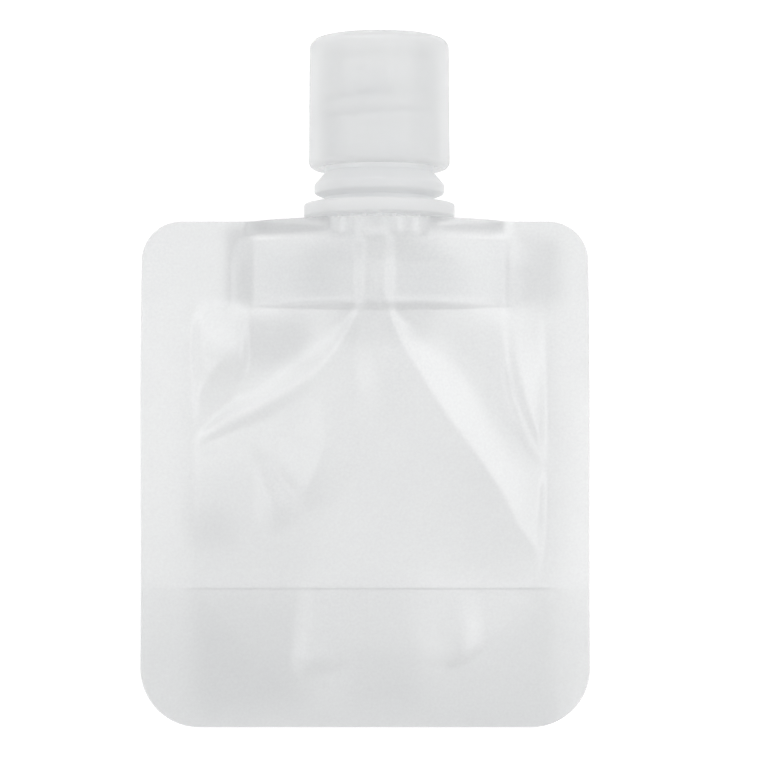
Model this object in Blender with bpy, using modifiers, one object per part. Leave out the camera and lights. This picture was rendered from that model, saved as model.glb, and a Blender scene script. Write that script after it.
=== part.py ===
"""A frosted stand-up pouch with a moulded spout and a screw cap, lying empty on its back.

The pouch is three films: a front, a back and a bottom film folded up between them. The spout's
boat-shaped base is welded between the front and back films. Metres, +Z up out of the front film,
+Y toward the cap. The origin is under the middle of the pouch, on the surface that it lies on.
"""

import math

import bmesh
import bpy
import numpy as np
from mathutils import Matrix, Vector

# The pouch
POUCH_LENGTH = 0.0726
POUCH_TOP_WIDTH = 0.0637
POUCH_BOTTOM_WIDTH = 0.0654
TOP_CORNER_RADIUS = 0.0056
BOTTOM_CORNER_RADIUS = 0.0087
FILM_THICKNESS = 0.0002
LAYER_GAP = 0.00025

# Where the pouch is open inside
LEFT_SEAL_WIDTH = 0.0068
RIGHT_SEAL_WIDTH = 0.0055
BOTTOM_FLAT_LENGTH = 0.0036
GUSSET_DEPTH = 0.0202
GUSSET_ARC_SHARE = 0.8
GUSSET_ARC_END_DEPTH = 0.001
FOLD_BLEND_LENGTH = 0.003

# The spout, from the weld base up to the rim
SPOUT_X = 0.00205
BORE_RADIUS = 0.0048
BORE_CHAMFER = 0.0004
BOAT_HEIGHT = 0.0096
BOAT_HALF_LENGTH = 0.0187
CORE_WALL = 0.0006
BOAT_OVER_CORE = 0.0003
BOAT_TIP_HALF_THICKNESS = 0.0005
BOAT_RIB_COUNT = 6
BOAT_RIB_PROUD = 0.0002
BOAT_RIB_WIDTH = 0.0006
CORE_OVERLAP = 0.001
COLLAR_WALL = 0.0026
COLLAR_CONE_HEIGHT = 0.0009
COLLAR_HEIGHT = 0.0023
COLLAR_RIB_COUNT = 22
COLLAR_RIB_RADIUS = 0.00042
COLLAR_RIB_SUNK = 0.00005
COLLAR_RIB_OVERLAP = 0.0003
FLANGE_ABOVE_FILM = 0.0005
FLANGE_PROUD = 0.003
FLANGE_THICKNESS = 0.002
FLANGE_EDGE_RADIUS = 0.0003
BEAD_PROUD = 0.0015
BEAD_BOTTOM_ABOVE_FLANGE = 0.0009
BEAD_UNDERCUT_HEIGHT = 0.0006
BEAD_NOSE_HEIGHT = 0.00125
BEAD_CONE_HEIGHT = 0.00175
BEAD_EDGE_RADIUS = 0.0005
NECK_WALL = 0.0024
NECK_STEP = 0.0006
NECK_STEP_ABOVE_BEAD = 0.0011
RIM_BELOW_CAP_TOP = 0.0047
RIM_EDGE_RADIUS = 0.0005

# The screw thread
THREAD_PITCH = 0.0025
THREAD_SUNK = 0.0002
NECK_THREAD_HEIGHT = 0.0008
NECK_THREAD_ROOT_WIDTH = 0.0012
NECK_THREAD_CREST_WIDTH = 0.0005
NECK_THREAD_TURNS = 2.9
NECK_THREAD_TOP_BELOW_RIM = 0.0017
THREAD_CLEARANCE = 0.0006
THREAD_ROOT_CLEARANCE = 0.00045
CAP_THREAD_ROOT_WIDTH = 0.0011
CAP_THREAD_CREST_WIDTH = 0.00045
CAP_THREAD_TURNS = 1.8
CAP_THREAD_TURNS_BELOW = 0.75
THREAD_STEPS_PER_TURN = 30
THREAD_FADE_STEPS = 5
THREAD_LEAST_SHARE = 0.1

# The cap and its liner
CAP_HEIGHT = 0.0188
CAP_ABOVE_BEAD = 0.0005
CAP_WALL = 0.0015
CAP_TAPER = 0.00012
CAP_TOP_EDGE_RADIUS = 0.0015
CAP_BOTTOM_EDGE_RADIUS = 0.0011
CAP_TOP_THICKNESS = 0.0013
CAP_MOUTH_CHAMFER = 0.0004
LINER_HOLD = 0.0003
LINER_DISC_THICKNESS = 0.0009
LINER_CLEARANCE = 0.00028
SNAP_RING_PROUD = 0.001
SNAP_RING_HEIGHT = 0.0005
SNAP_RING_SLOPE = 0.0009
PLUG_SHOULDER = 0.0004
PLUG_CLEARANCE = 0.00025
PLUG_WALL = 0.0009
PLUG_DEPTH = 0.0034
PLUG_TAPER = 0.0008
SEAT_CLEARANCE = 0.0003

# How the films hang on the weld base
WELD_CLEARANCE = 0.0003
COLLAR_COVER_CLEARANCE = 0.00053
COLLAR_COVER_PAST_TIP = 0.0023
COLLAR_COVER_POWER = 0.8
COLLAR_COVER_BELOW_BOAT_TOP = 0.0014
TIP_FALL_SLOPE = 0.6
TIP_RISE_SLOPE = 0.35
TENT_BLEND_LENGTH = 0.003
BACK_TENT_SHARE = 0.85

# Lines that hold the stretched film. Each point has its share of the way from the spout's axis to the side seal,
# its share of the way from the weld base down to the fold, and its height as a share of the film's over the base.
LEFT_RIDGE_SHARES = (
    (0.105, 0.001, 0.952),
    (0.186, 0.123, 0.927),
    (0.268, 0.196, 0.855),
    (0.467, 0.305, 0.677),
    (0.692, 0.375, 0.452),
    (0.899, 0.443, 0.185),
    (0.994, 0.488, 0.000),
)
LEFT_VALLEY_SHARES = (
    (0.208, 0.061, 0.613),
    (0.315, 0.118, 0.435),
    (0.452, 0.186, 0.298),
    (0.600, 0.248, 0.202),
    (0.751, 0.315, 0.121),
    (0.961, 0.443, 0.016),
)
LEFT_EDGE_SHARES = (
    (0.710, 0.123, 0.306),
    (0.847, 0.206, 0.274),
    (0.939, 0.288, 0.161),
    (0.994, 0.365, 0.032),
)
RIGHT_RIDGE_SHARES = (
    (0.043, 0.001, 0.952),
    (0.134, 0.123, 0.968),
    (0.216, 0.213, 0.952),
    (0.451, 0.415, 0.774),
    (0.677, 0.595, 0.556),
    (0.813, 0.757, 0.298),
    (0.994, 0.889, 0.000),
)
RIGHT_VALLEY_SHARES = (
    (0.191, 0.064, 0.613),
    (0.331, 0.108, 0.468),
    (0.467, 0.163, 0.355),
    (0.586, 0.233, 0.282),
    (0.722, 0.415, 0.210),
)
RIGHT_EDGE_SHARES = (
    (0.772, 0.011, 0.161),
    (0.776, 0.123, 0.306),
    (0.800, 0.213, 0.355),
    (0.846, 0.315, 0.339),
    (0.903, 0.415, 0.242),
    (0.994, 0.555, 0.016),
)

# The grid on which the film between those lines settles
SETTLE_COLUMNS = 64
SETTLE_ROWS = 70
SETTLE_ROUNDS = 3000
SETTLE_SOFTENING_ROUNDS = 3
LINE_STEPS = 60

# Smoothness
TURN_STEPS = 48
BOAT_ARC_STEPS = 14
COLLAR_RIB_STEPS = 8
EDGE_STEPS = 4
CORNER_STEPS = 5
FOLD_STEPS = 6
RUN_ROWS = 19
GUSSET_ROWS = 4
BOAT_COLUMNS = 10
SIDE_COLUMNS = 3
SHARP_ANGLE = math.radians(35)
WELD_DISTANCE = 0.00001

# Worked out from the sizes above
CORE_RADIUS = BORE_RADIUS + CORE_WALL
BOAT_HALF_THICKNESS = CORE_RADIUS + BOAT_OVER_CORE
COLLAR_RADIUS = BORE_RADIUS + COLLAR_WALL
THREADED_NECK_RADIUS = BORE_RADIUS + NECK_WALL
NECK_RADIUS = THREADED_NECK_RADIUS + NECK_STEP
BEAD_RADIUS = NECK_RADIUS + BEAD_PROUD
FLANGE_RADIUS = NECK_RADIUS + FLANGE_PROUD
CAP_INNER_RADIUS = THREADED_NECK_RADIUS + NECK_THREAD_HEIGHT + THREAD_CLEARANCE
CAP_THREAD_HEIGHT = CAP_INNER_RADIUS - THREADED_NECK_RADIUS - THREAD_ROOT_CLEARANCE
CAP_BOTTOM_RADIUS = CAP_INNER_RADIUS + CAP_WALL
CAP_TOP_RADIUS = CAP_BOTTOM_RADIUS - CAP_TAPER
SNAP_RING_RADIUS = CAP_INNER_RADIUS - SNAP_RING_PROUD
LINER_DISC_RADIUS = SNAP_RING_RADIUS + LINER_HOLD
PLUG_UPPER_RADIUS = BORE_RADIUS + PLUG_SHOULDER
PLUG_LOWER_RADIUS = BORE_RADIUS - PLUG_CLEARANCE
COLLAR_COVER_HEIGHT = COLLAR_RADIUS + COLLAR_RIB_RADIUS - COLLAR_RIB_SUNK + COLLAR_COVER_CLEARANCE
COLLAR_COVER_HALF_LENGTH = BOAT_HALF_LENGTH + COLLAR_COVER_PAST_TIP
BEAD_STACK = BEAD_BOTTOM_ABOVE_FLANGE + BEAD_UNDERCUT_HEIGHT + BEAD_NOSE_HEIGHT + BEAD_CONE_HEIGHT
SPOUT_ABOVE_FILM = FLANGE_ABOVE_FILM + FLANGE_THICKNESS + BEAD_STACK
OVERALL_LENGTH = POUCH_LENGTH + SPOUT_ABOVE_FILM + CAP_ABOVE_BEAD + CAP_HEIGHT
BOTTOM_EDGE_Y = -OVERALL_LENGTH / 2
FOLD_Y = BOTTOM_EDGE_Y + GUSSET_DEPTH
TOP_EDGE_Y = BOTTOM_EDGE_Y + POUCH_LENGTH
FLANGE_BOTTOM_Y = TOP_EDGE_Y + FLANGE_ABOVE_FILM
FLANGE_TOP_Y = FLANGE_BOTTOM_Y + FLANGE_THICKNESS
COLLAR_BOTTOM_Y = FLANGE_BOTTOM_Y - COLLAR_HEIGHT
BOAT_TOP_Y = COLLAR_BOTTOM_Y - COLLAR_CONE_HEIGHT
BOAT_BOTTOM_Y = BOAT_TOP_Y - BOAT_HEIGHT
BEAD_TOP_Y = FLANGE_TOP_Y + BEAD_STACK
CAP_BOTTOM_Y = BEAD_TOP_Y + CAP_ABOVE_BEAD
CAP_TOP_Y = CAP_BOTTOM_Y + CAP_HEIGHT
RIM_Y = CAP_TOP_Y - RIM_BELOW_CAP_TOP
CEILING_Y = CAP_TOP_Y - CAP_TOP_THICKNESS
AXIS_Z = FLANGE_RADIUS
STACK_HALF = LAYER_GAP * 1.5 + FILM_THICKNESS * 2
CHAMBER_LEFT = LEFT_SEAL_WIDTH - POUCH_TOP_WIDTH / 2
CHAMBER_RIGHT = POUCH_TOP_WIDTH / 2 - RIGHT_SEAL_WIDTH
NECK_THREAD_TOP_Y = RIM_Y - NECK_THREAD_TOP_BELOW_RIM
NECK_THREAD_BOTTOM_Y = NECK_THREAD_TOP_Y - NECK_THREAD_TURNS * THREAD_PITCH
CAP_THREAD_TOP_Y = NECK_THREAD_TOP_Y - CAP_THREAD_TURNS_BELOW * THREAD_PITCH
CAP_THREAD_BOTTOM_Y = CAP_THREAD_TOP_Y - CAP_THREAD_TURNS * THREAD_PITCH


# Small helpers for blends


def smooth_step(value):
    """Rises smoothly from 0 to 1 as the value goes from 0 to 1."""
    clipped = min(max(value, 0.0), 1.0)
    return clipped * clipped * (3 - 2 * clipped)


# The pouch's outline and the surface halfway between its films


def half_width(y):
    """Half of the pouch's width at a height, with the rounded corners."""
    share = (TOP_EDGE_Y - y) / POUCH_LENGTH
    straight = (POUCH_TOP_WIDTH + (POUCH_BOTTOM_WIDTH - POUCH_TOP_WIDTH) * share) / 2
    above = max(y - (TOP_EDGE_Y - TOP_CORNER_RADIUS), 0.0)
    below = max(BOTTOM_EDGE_Y + BOTTOM_CORNER_RADIUS - y, 0.0)
    cut = TOP_CORNER_RADIUS - math.sqrt(max(TOP_CORNER_RADIUS**2 - above**2, 0.0))
    cut += BOTTOM_CORNER_RADIUS - math.sqrt(max(BOTTOM_CORNER_RADIUS**2 - below**2, 0.0))
    return straight - cut


def middle_height(y):
    """Height of the pouch's middle surface, from the spout's axis down to the table."""
    flat_y = BOTTOM_EDGE_Y + BOTTOM_FLAT_LENGTH
    fall = smooth_step((BOAT_BOTTOM_Y - y) / (BOAT_BOTTOM_Y - flat_y))
    return AXIS_Z + (STACK_HALF - AXIS_Z) * fall


# The weld base and the films over it


def lens_height(x):
    """Half thickness of the weld base's arc at a distance from the spout's axis."""
    radius = (BOAT_HALF_LENGTH**2 + BOAT_HALF_THICKNESS**2) / (2 * BOAT_HALF_THICKNESS)
    return math.sqrt(max(radius**2 - x**2, 0.0)) - (radius - BOAT_HALF_THICKNESS)


def boat_cover(x):
    """How far from the middle a film lies over the weld base, past its tips too."""
    standoff = BOAT_RIB_PROUD + WELD_CLEARANCE
    past_tip = abs(x) - BOAT_HALF_LENGTH - standoff
    slope = TIP_FALL_SLOPE if past_tip > 0 else TIP_RISE_SLOPE
    tip = BOAT_TIP_HALF_THICKNESS + standoff - past_tip * slope
    return max(min(tip, lens_height(0) + standoff), lens_height(x) + standoff)


def collar_cover(x):
    """How far from the middle a film lies at its top edge, over the ribbed collar."""
    share = min(abs(x) / COLLAR_COVER_HALF_LENGTH, 1.0)
    return COLLAR_COVER_HEIGHT * max(math.cos(share * math.pi / 2), 0.0) ** (2 * COLLAR_COVER_POWER)


def arc_depth(x):
    """How far the curved bottom seal lies below the fold."""
    middle_x = (CHAMBER_LEFT + CHAMBER_RIGHT) / 2
    across = (x - middle_x) / (CHAMBER_RIGHT - middle_x)
    return max(GUSSET_DEPTH * GUSSET_ARC_SHARE * (1 - across**2), GUSSET_ARC_END_DEPTH)


def holding_lines():
    """The lines that hold the film, each as places and heights."""
    top = BOAT_HALF_THICKNESS + BOAT_RIB_PROUD + WELD_CLEARANCE
    sides = (
        (CHAMBER_LEFT, (LEFT_RIDGE_SHARES, LEFT_VALLEY_SHARES, LEFT_EDGE_SHARES)),
        (CHAMBER_RIGHT, (RIGHT_RIDGE_SHARES, RIGHT_VALLEY_SHARES, RIGHT_EDGE_SHARES)),
    )
    lines = []
    for seal_x, groups in sides:
        for points in groups:
            line = []
            for across, down, height in points:
                x = SPOUT_X + (seal_x - SPOUT_X) * across
                y = BOAT_BOTTOM_Y + (FOLD_Y - BOAT_BOTTOM_Y) * down
                line.append(Vector((x, y, height * top)))
            lines.append(line)
    return lines


def settled_tent():
    """Heights of the stretched film on a grid, settled between the base, the holding lines and the seals."""
    heights = np.zeros((SETTLE_ROWS + 1, SETTLE_COLUMNS + 1))
    held = np.zeros(heights.shape, bool)
    held[:, 0] = held[:, -1] = held[0] = held[-1] = True
    low_y = FOLD_Y - GUSSET_DEPTH * GUSSET_ARC_SHARE
    for column in range(SETTLE_COLUMNS + 1):
        x = CHAMBER_LEFT + (CHAMBER_RIGHT - CHAMBER_LEFT) * column / SETTLE_COLUMNS
        heights[0, column] = max(boat_cover(x - SPOUT_X) - LAYER_GAP / 2, 0.0)
        for row in range(SETTLE_ROWS + 1):
            y = BOAT_BOTTOM_Y + (low_y - BOAT_BOTTOM_Y) * row / SETTLE_ROWS
            if y < FOLD_Y - arc_depth(x):
                held[row, column] = True
    for line in holding_lines():
        for start, end in zip(line, line[1:]):
            for step in range(LINE_STEPS + 1):
                place = start.lerp(end, step / LINE_STEPS)
                column = round((place.x - CHAMBER_LEFT) / (CHAMBER_RIGHT - CHAMBER_LEFT) * SETTLE_COLUMNS)
                row = round((BOAT_BOTTOM_Y - place.y) / (BOAT_BOTTOM_Y - low_y) * SETTLE_ROWS)
                heights[row, column] = place.z
                held[row, column] = True
    inside = heights[1:-1, 1:-1]
    for settling in range(SETTLE_ROUNDS + SETTLE_SOFTENING_ROUNDS):
        beside = heights[1:-1, :-2] + heights[1:-1, 2:]
        around = (beside + heights[:-2, 1:-1] + heights[2:, 1:-1]) / 4
        if settling < SETTLE_ROUNDS:
            inside[:] = np.where(held[1:-1, 1:-1], inside, around)
        else:
            inside[:] = (inside + around) / 2
    return heights


TENT = settled_tent()


def tent_height(x, y):
    """How far a film stands off below the weld base, read from the settled grid."""
    low_y = FOLD_Y - GUSSET_DEPTH * GUSSET_ARC_SHARE
    column = (x - CHAMBER_LEFT) / (CHAMBER_RIGHT - CHAMBER_LEFT) * SETTLE_COLUMNS
    row = (BOAT_BOTTOM_Y - y) / (BOAT_BOTTOM_Y - low_y) * SETTLE_ROWS
    if not 0 < column < SETTLE_COLUMNS or row >= SETTLE_ROWS:
        return 0.0
    left, above = int(column), int(max(row, 0.0))
    across, down = column - left, max(row, 0.0) - above
    upper = TENT[above, left] * (1 - across) + TENT[above, left + 1] * across
    lower = TENT[above + 1, left] * (1 - across) + TENT[above + 1, left + 1] * across
    return float(upper * (1 - down) + lower * down)


def layer_offset(y):
    """Distance from the middle to a film's inner face where the layers are sealed together."""
    two_layers = LAYER_GAP / 2
    four_layers = LAYER_GAP * 1.5 + FILM_THICKNESS
    share = smooth_step((y - FOLD_Y) / FOLD_BLEND_LENGTH)
    return four_layers + (two_layers - four_layers) * share


def film_offset(x, y, tent_share):
    """Distance from the middle surface to a film's inner face."""
    sealed = layer_offset(y)
    from_axis = x - SPOUT_X
    if y < BOAT_BOTTOM_Y:
        share = smooth_step((BOAT_BOTTOM_Y - y) / TENT_BLEND_LENGTH)
        over_boat = max(sealed, boat_cover(from_axis))
        tent = sealed + tent_share * tent_height(x, y)
        return over_boat + (tent - over_boat) * share
    start = BOAT_TOP_Y - COLLAR_COVER_BELOW_BOAT_TOP
    share = smooth_step((y - start) / (COLLAR_BOTTOM_Y - start))
    cover = boat_cover(from_axis) * (1 - share) + collar_cover(from_axis) * share
    if y <= BOAT_TOP_Y:
        cover = max(cover, boat_cover(from_axis))
    return max(sealed, cover)


# Scene, materials and modifiers


def clear_scene():
    """Take away whatever the scene already holds."""
    for thing in list(bpy.data.objects):
        bpy.data.objects.remove(thing, do_unlink=True)


def new_collection(name):
    """A collection linked to the scene."""
    collection = bpy.data.collections.new(name)
    bpy.context.scene.collection.children.link(collection)
    return collection


def plastic(name, colour, roughness, alpha):
    """A Principled material for milky plastic."""
    material = bpy.data.materials.new(name)
    material.use_nodes = True
    shader = material.node_tree.nodes["Principled BSDF"]
    shader.inputs["Base Color"].default_value = (*colour, 1.0)
    shader.inputs["Roughness"].default_value = roughness
    shader.inputs["Metallic"].default_value = 0.0
    shader.inputs["Alpha"].default_value = alpha
    return material


def add_object(name, mesh, collection, parent=None):
    """A mesh object, smooth where it is round, placed in its parent's frame."""
    made = bpy.data.objects.new(name, mesh)
    collection.objects.link(made)
    made.parent = parent
    if mesh.polygons:
        mesh.shade_smooth()
        mesh.set_sharp_from_angle(angle=SHARP_ANGLE)
    return made


def as_cutter(made):
    """Mark a piece as one that only joins or cuts another."""
    made.hide_render = True
    made.display_type = "WIRE"
    return made


def join_with(made, other, operation):
    """Add a Boolean of another object to an object."""
    boolean = made.modifiers.new(f"{operation.lower()} {other.name}", "BOOLEAN")
    boolean.operation = operation
    boolean.solver = "EXACT"
    boolean.object = other


# Turned, extruded and wound shapes


def corner_arc(before, corner, after, radius):
    """Points of an arc that rounds one corner of a profile."""
    into = (corner - before).normalized()
    away = (after - corner).normalized()
    half_turn = into.angle(away) / 2
    reach = radius * math.tan(half_turn)
    start = corner - into * reach
    bisector = (away - into).normalized()
    centre = corner + bisector * radius / math.cos(half_turn)
    side = math.copysign(1.0, into.x * away.y - into.y * away.x)
    points = []
    for step in range(EDGE_STEPS + 1):
        angle = side * 2 * half_turn * step / EDGE_STEPS
        points.append(centre + Matrix.Rotation(angle, 2) @ (start - centre))
    return points


def turned(name, corners, collection, parent):
    """A turned solid from (radius, height, edge radius) corners that run down its outer side."""
    spots = [Vector(corner[:2]) for corner in corners]
    points = []
    for index, corner in enumerate(corners):
        if corner[2] > 0 and 0 < index < len(corners) - 1:
            points += corner_arc(spots[index - 1], spots[index], spots[index + 1], corner[2])
        else:
            points.append(spots[index])
    mesh = bpy.data.meshes.new(name)
    vertices = [(point.x, 0.0, point.y) for point in points]
    edges = [(index, index + 1) for index in range(len(points) - 1)]
    mesh.from_pydata(vertices, edges, [])
    made = add_object(name, mesh, collection, parent)
    screw = made.modifiers.new("turn", "SCREW")
    screw.steps = TURN_STEPS
    screw.render_steps = TURN_STEPS
    screw.use_merge_vertices = True
    screw.merge_threshold = WELD_DISTANCE
    screw.use_smooth_shade = True
    return made


def boat_outline(grow):
    """Outline of the weld base as two arcs with blunt tips, grown by an amount."""
    length = BOAT_HALF_LENGTH + grow
    upper = []
    for step in range(BOAT_ARC_STEPS + 1):
        share = 2 * step / BOAT_ARC_STEPS - 1
        height = max(lens_height(share * BOAT_HALF_LENGTH), BOAT_TIP_HALF_THICKNESS) + grow
        upper.append((share * length, height))
    lower = [(x, -height) for x, height in reversed(upper)]
    return upper + lower


def plate(name, outline, thickness, height, collection, parent):
    """A flat plate from a 2D outline, square to the spout's axis, as a closed mesh."""
    curve = bpy.data.curves.new(f"{name} outline", "CURVE")
    curve.dimensions = "2D"
    curve.fill_mode = "BOTH"
    curve.extrude = thickness / 2
    spline = curve.splines.new("POLY")
    spline.points.add(len(outline) - 1)
    for point, (x, y) in zip(spline.points, outline):
        point.co = (x, y, 0.0, 1.0)
    spline.use_cyclic_u = True
    guide = bpy.data.objects.new(f"{name} guide", curve)
    collection.objects.link(guide)
    bpy.context.view_layer.update()
    evaluated = guide.evaluated_get(bpy.context.evaluated_depsgraph_get())
    mesh = bpy.data.meshes.new_from_object(evaluated)
    bpy.data.objects.remove(guide, do_unlink=True)
    shape = bmesh.new()
    shape.from_mesh(mesh)
    bmesh.ops.remove_doubles(shape, verts=shape.verts, dist=WELD_DISTANCE)
    bmesh.ops.recalc_face_normals(shape, faces=shape.faces)
    shape.to_mesh(mesh)
    shape.free()
    made = add_object(name, mesh, collection, parent)
    made.location.z = height
    return made


def thread_ridge(name, wall, outward, height, widths, bottom, turns, collection, parent):
    """A right-hand screw ridge rooted in a round wall, lower toward both of its ends."""
    steps = round(turns * THREAD_STEPS_PER_TURN)
    root = wall - outward * THREAD_SUNK
    shape = bmesh.new()
    rings = []
    for step in range(steps + 1):
        fade = min(1.0, step / THREAD_FADE_STEPS, (steps - step) / THREAD_FADE_STEPS)
        share = THREAD_LEAST_SHARE + (1 - THREAD_LEAST_SHARE) * fade
        crest = root + outward * (THREAD_SUNK + height) * share
        level = bottom + THREAD_PITCH * turns * step / steps
        angle = 2 * math.pi * level / THREAD_PITCH
        corners = (
            (root, -widths[0] / 2),
            (crest, -widths[1] / 2),
            (crest, widths[1] / 2),
            (root, widths[0] / 2),
        )
        ring = []
        for radius, rise in corners:
            place = (radius * math.cos(angle), radius * math.sin(angle), level + rise)
            ring.append(shape.verts.new(place))
        rings.append(ring)
    for lower, upper in zip(rings, rings[1:]):
        for index in range(len(lower)):
            after = (index + 1) % len(lower)
            shape.faces.new((lower[index], lower[after], upper[after], upper[index]))
    shape.faces.new(rings[0])
    shape.faces.new(rings[-1])
    bmesh.ops.recalc_face_normals(shape, faces=shape.faces)
    mesh = bpy.data.meshes.new(name)
    shape.to_mesh(mesh)
    shape.free()
    return as_cutter(add_object(name, mesh, collection, parent))


def collar_ribs(collection, parent):
    """The small upright ribs around the collar, as one ring of cylinders."""
    height = COLLAR_HEIGHT + COLLAR_RIB_OVERLAP
    middle = COLLAR_BOTTOM_Y + height / 2
    shape = bmesh.new()
    for index in range(COLLAR_RIB_COUNT):
        angle = 2 * math.pi * (index + 1 / 2) / COLLAR_RIB_COUNT
        reach = COLLAR_RADIUS - COLLAR_RIB_SUNK
        place = Vector((reach * math.cos(angle), reach * math.sin(angle), middle))
        bmesh.ops.create_cone(
            shape,
            cap_ends=True,
            segments=COLLAR_RIB_STEPS,
            radius1=COLLAR_RIB_RADIUS,
            radius2=COLLAR_RIB_RADIUS,
            depth=height,
            matrix=Matrix.Translation(place),
        )
    mesh = bpy.data.meshes.new("collar ribs")
    shape.to_mesh(mesh)
    shape.free()
    return as_cutter(add_object("collar ribs", mesh, collection, parent))


# The films


def film_columns():
    """Places across the pouch, closer together over the weld base, as shares of half its width."""
    half = POUCH_TOP_WIDTH / 2
    tip = BOAT_HALF_LENGTH + BOAT_RIB_PROUD + WELD_CLEARANCE
    past_tip = tip + (BOAT_TIP_HALF_THICKNESS + BOAT_RIB_PROUD + WELD_CLEARANCE) / TIP_FALL_SLOPE
    places = [-half, half]
    for side, seal_x in ((-1, CHAMBER_LEFT), (1, CHAMBER_RIGHT)):
        foot = SPOUT_X + side * past_tip
        for step in range(SIDE_COLUMNS + 1):
            places.append(foot + (seal_x - foot) * step / SIDE_COLUMNS)
    for step in range(-BOAT_COLUMNS, BOAT_COLUMNS + 1):
        places.append(SPOUT_X + tip * step / BOAT_COLUMNS)
    return [place / half for place in sorted(places)]


def bottom_rows():
    """Heights of the rows from the fold down to the bottom edge."""
    corner_y = BOTTOM_EDGE_Y + BOTTOM_CORNER_RADIUS
    rows = []
    for step in range(GUSSET_ROWS):
        rows.append(FOLD_Y + (corner_y - FOLD_Y) * step / GUSSET_ROWS)
    for step in range(CORNER_STEPS + 1):
        angle = math.pi / 2 * step / CORNER_STEPS
        rows.append(corner_y - BOTTOM_CORNER_RADIUS * math.sin(angle))
    return rows


def film_rows():
    """Heights of the rows of a front or back film, from the top edge down."""
    rows = []
    for step in range(CORNER_STEPS + 1):
        angle = math.pi / 2 * (1 - step / CORNER_STEPS)
        rows.append(TOP_EDGE_Y - TOP_CORNER_RADIUS * (1 - math.sin(angle)))
    rows.append(BOAT_TOP_Y)
    rows.sort(reverse=True)
    rows.append((rows[-1] + BOAT_BOTTOM_Y) / 2)
    rows.append(BOAT_BOTTOM_Y)
    rows.append(BOAT_BOTTOM_Y - TENT_BLEND_LENGTH / 2)
    start = BOAT_BOTTOM_Y - TENT_BLEND_LENGTH
    end = FOLD_Y + FOLD_BLEND_LENGTH
    for step in range(RUN_ROWS + 1):
        rows.append(start + (end - start) * step / RUN_ROWS)
    rows.append(FOLD_Y + FOLD_BLEND_LENGTH / 2)
    return rows + bottom_rows()


def draped_grid(name, columns, rows, place, offset, collection):
    """A film from a grid of shares and rows, laid where place says and given its thickness."""
    shape = bmesh.new()
    bmesh.ops.create_grid(shape, x_segments=len(columns) - 1, y_segments=len(rows) - 1, size=1.0)
    for vertex in shape.verts:
        column = round((vertex.co.x + 1) / 2 * (len(columns) - 1))
        row = round((1 - vertex.co.y) / 2 * (len(rows) - 1))
        vertex.co = place(columns[column], rows[row])
    mesh = bpy.data.meshes.new(name)
    shape.to_mesh(mesh)
    shape.free()
    made = add_object(name, mesh, collection)
    solidify = made.modifiers.new("film thickness", "SOLIDIFY")
    solidify.thickness = FILM_THICKNESS
    solidify.offset = offset
    solidify.use_even_offset = False
    return made


def place_front(share, y):
    """Inner face of the front film."""
    x = share * half_width(y)
    return (x, y, middle_height(y) + film_offset(x, y, 1.0))


def place_back(share, y):
    """Inner face of the back film, which stays above the table."""
    x = share * half_width(y)
    height = middle_height(y) - film_offset(x, y, BACK_TENT_SHARE)
    return (x, y, max(height, FILM_THICKNESS))


def gusset_path():
    """Points down the front leg's middle from the bottom edge, over the fold and down the back leg."""
    leg = (LAYER_GAP + FILM_THICKNESS) / 2
    turn_y = FOLD_Y - leg - FILM_THICKNESS / 2
    legs = [turn_y] + [row for row in bottom_rows() if row < turn_y]
    path = [(row, leg) for row in reversed(legs)]
    for step in range(1, FOLD_STEPS):
        angle = math.pi * step / FOLD_STEPS
        path.append((turn_y + leg * math.sin(angle), leg * math.cos(angle)))
    return path + [(row, -leg) for row in legs]


def place_gusset(share, point):
    """Middle of the gusset film."""
    y, offset = point
    return (share * half_width(y), y, middle_height(y) + offset)


def build_films(collection):
    """The front, back and gusset films."""
    columns = film_columns()
    front = draped_grid("front_film", columns, film_rows(), place_front, 1.0, collection)
    back = draped_grid("back_film", columns, film_rows(), place_back, -1.0, collection)
    gusset = draped_grid("gusset_film", columns, gusset_path(), place_gusset, 0.0, collection)
    frosted = plastic("frosted film", (0.86, 0.87, 0.88), 0.42, 0.55)
    for film in (front, back):
        film.data.materials.append(frosted.copy())
    gusset.data.materials.append(plastic("frosted gusset film", (0.84, 0.85, 0.86), 0.42, 0.55))


# The spout, the cap and the liner


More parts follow.
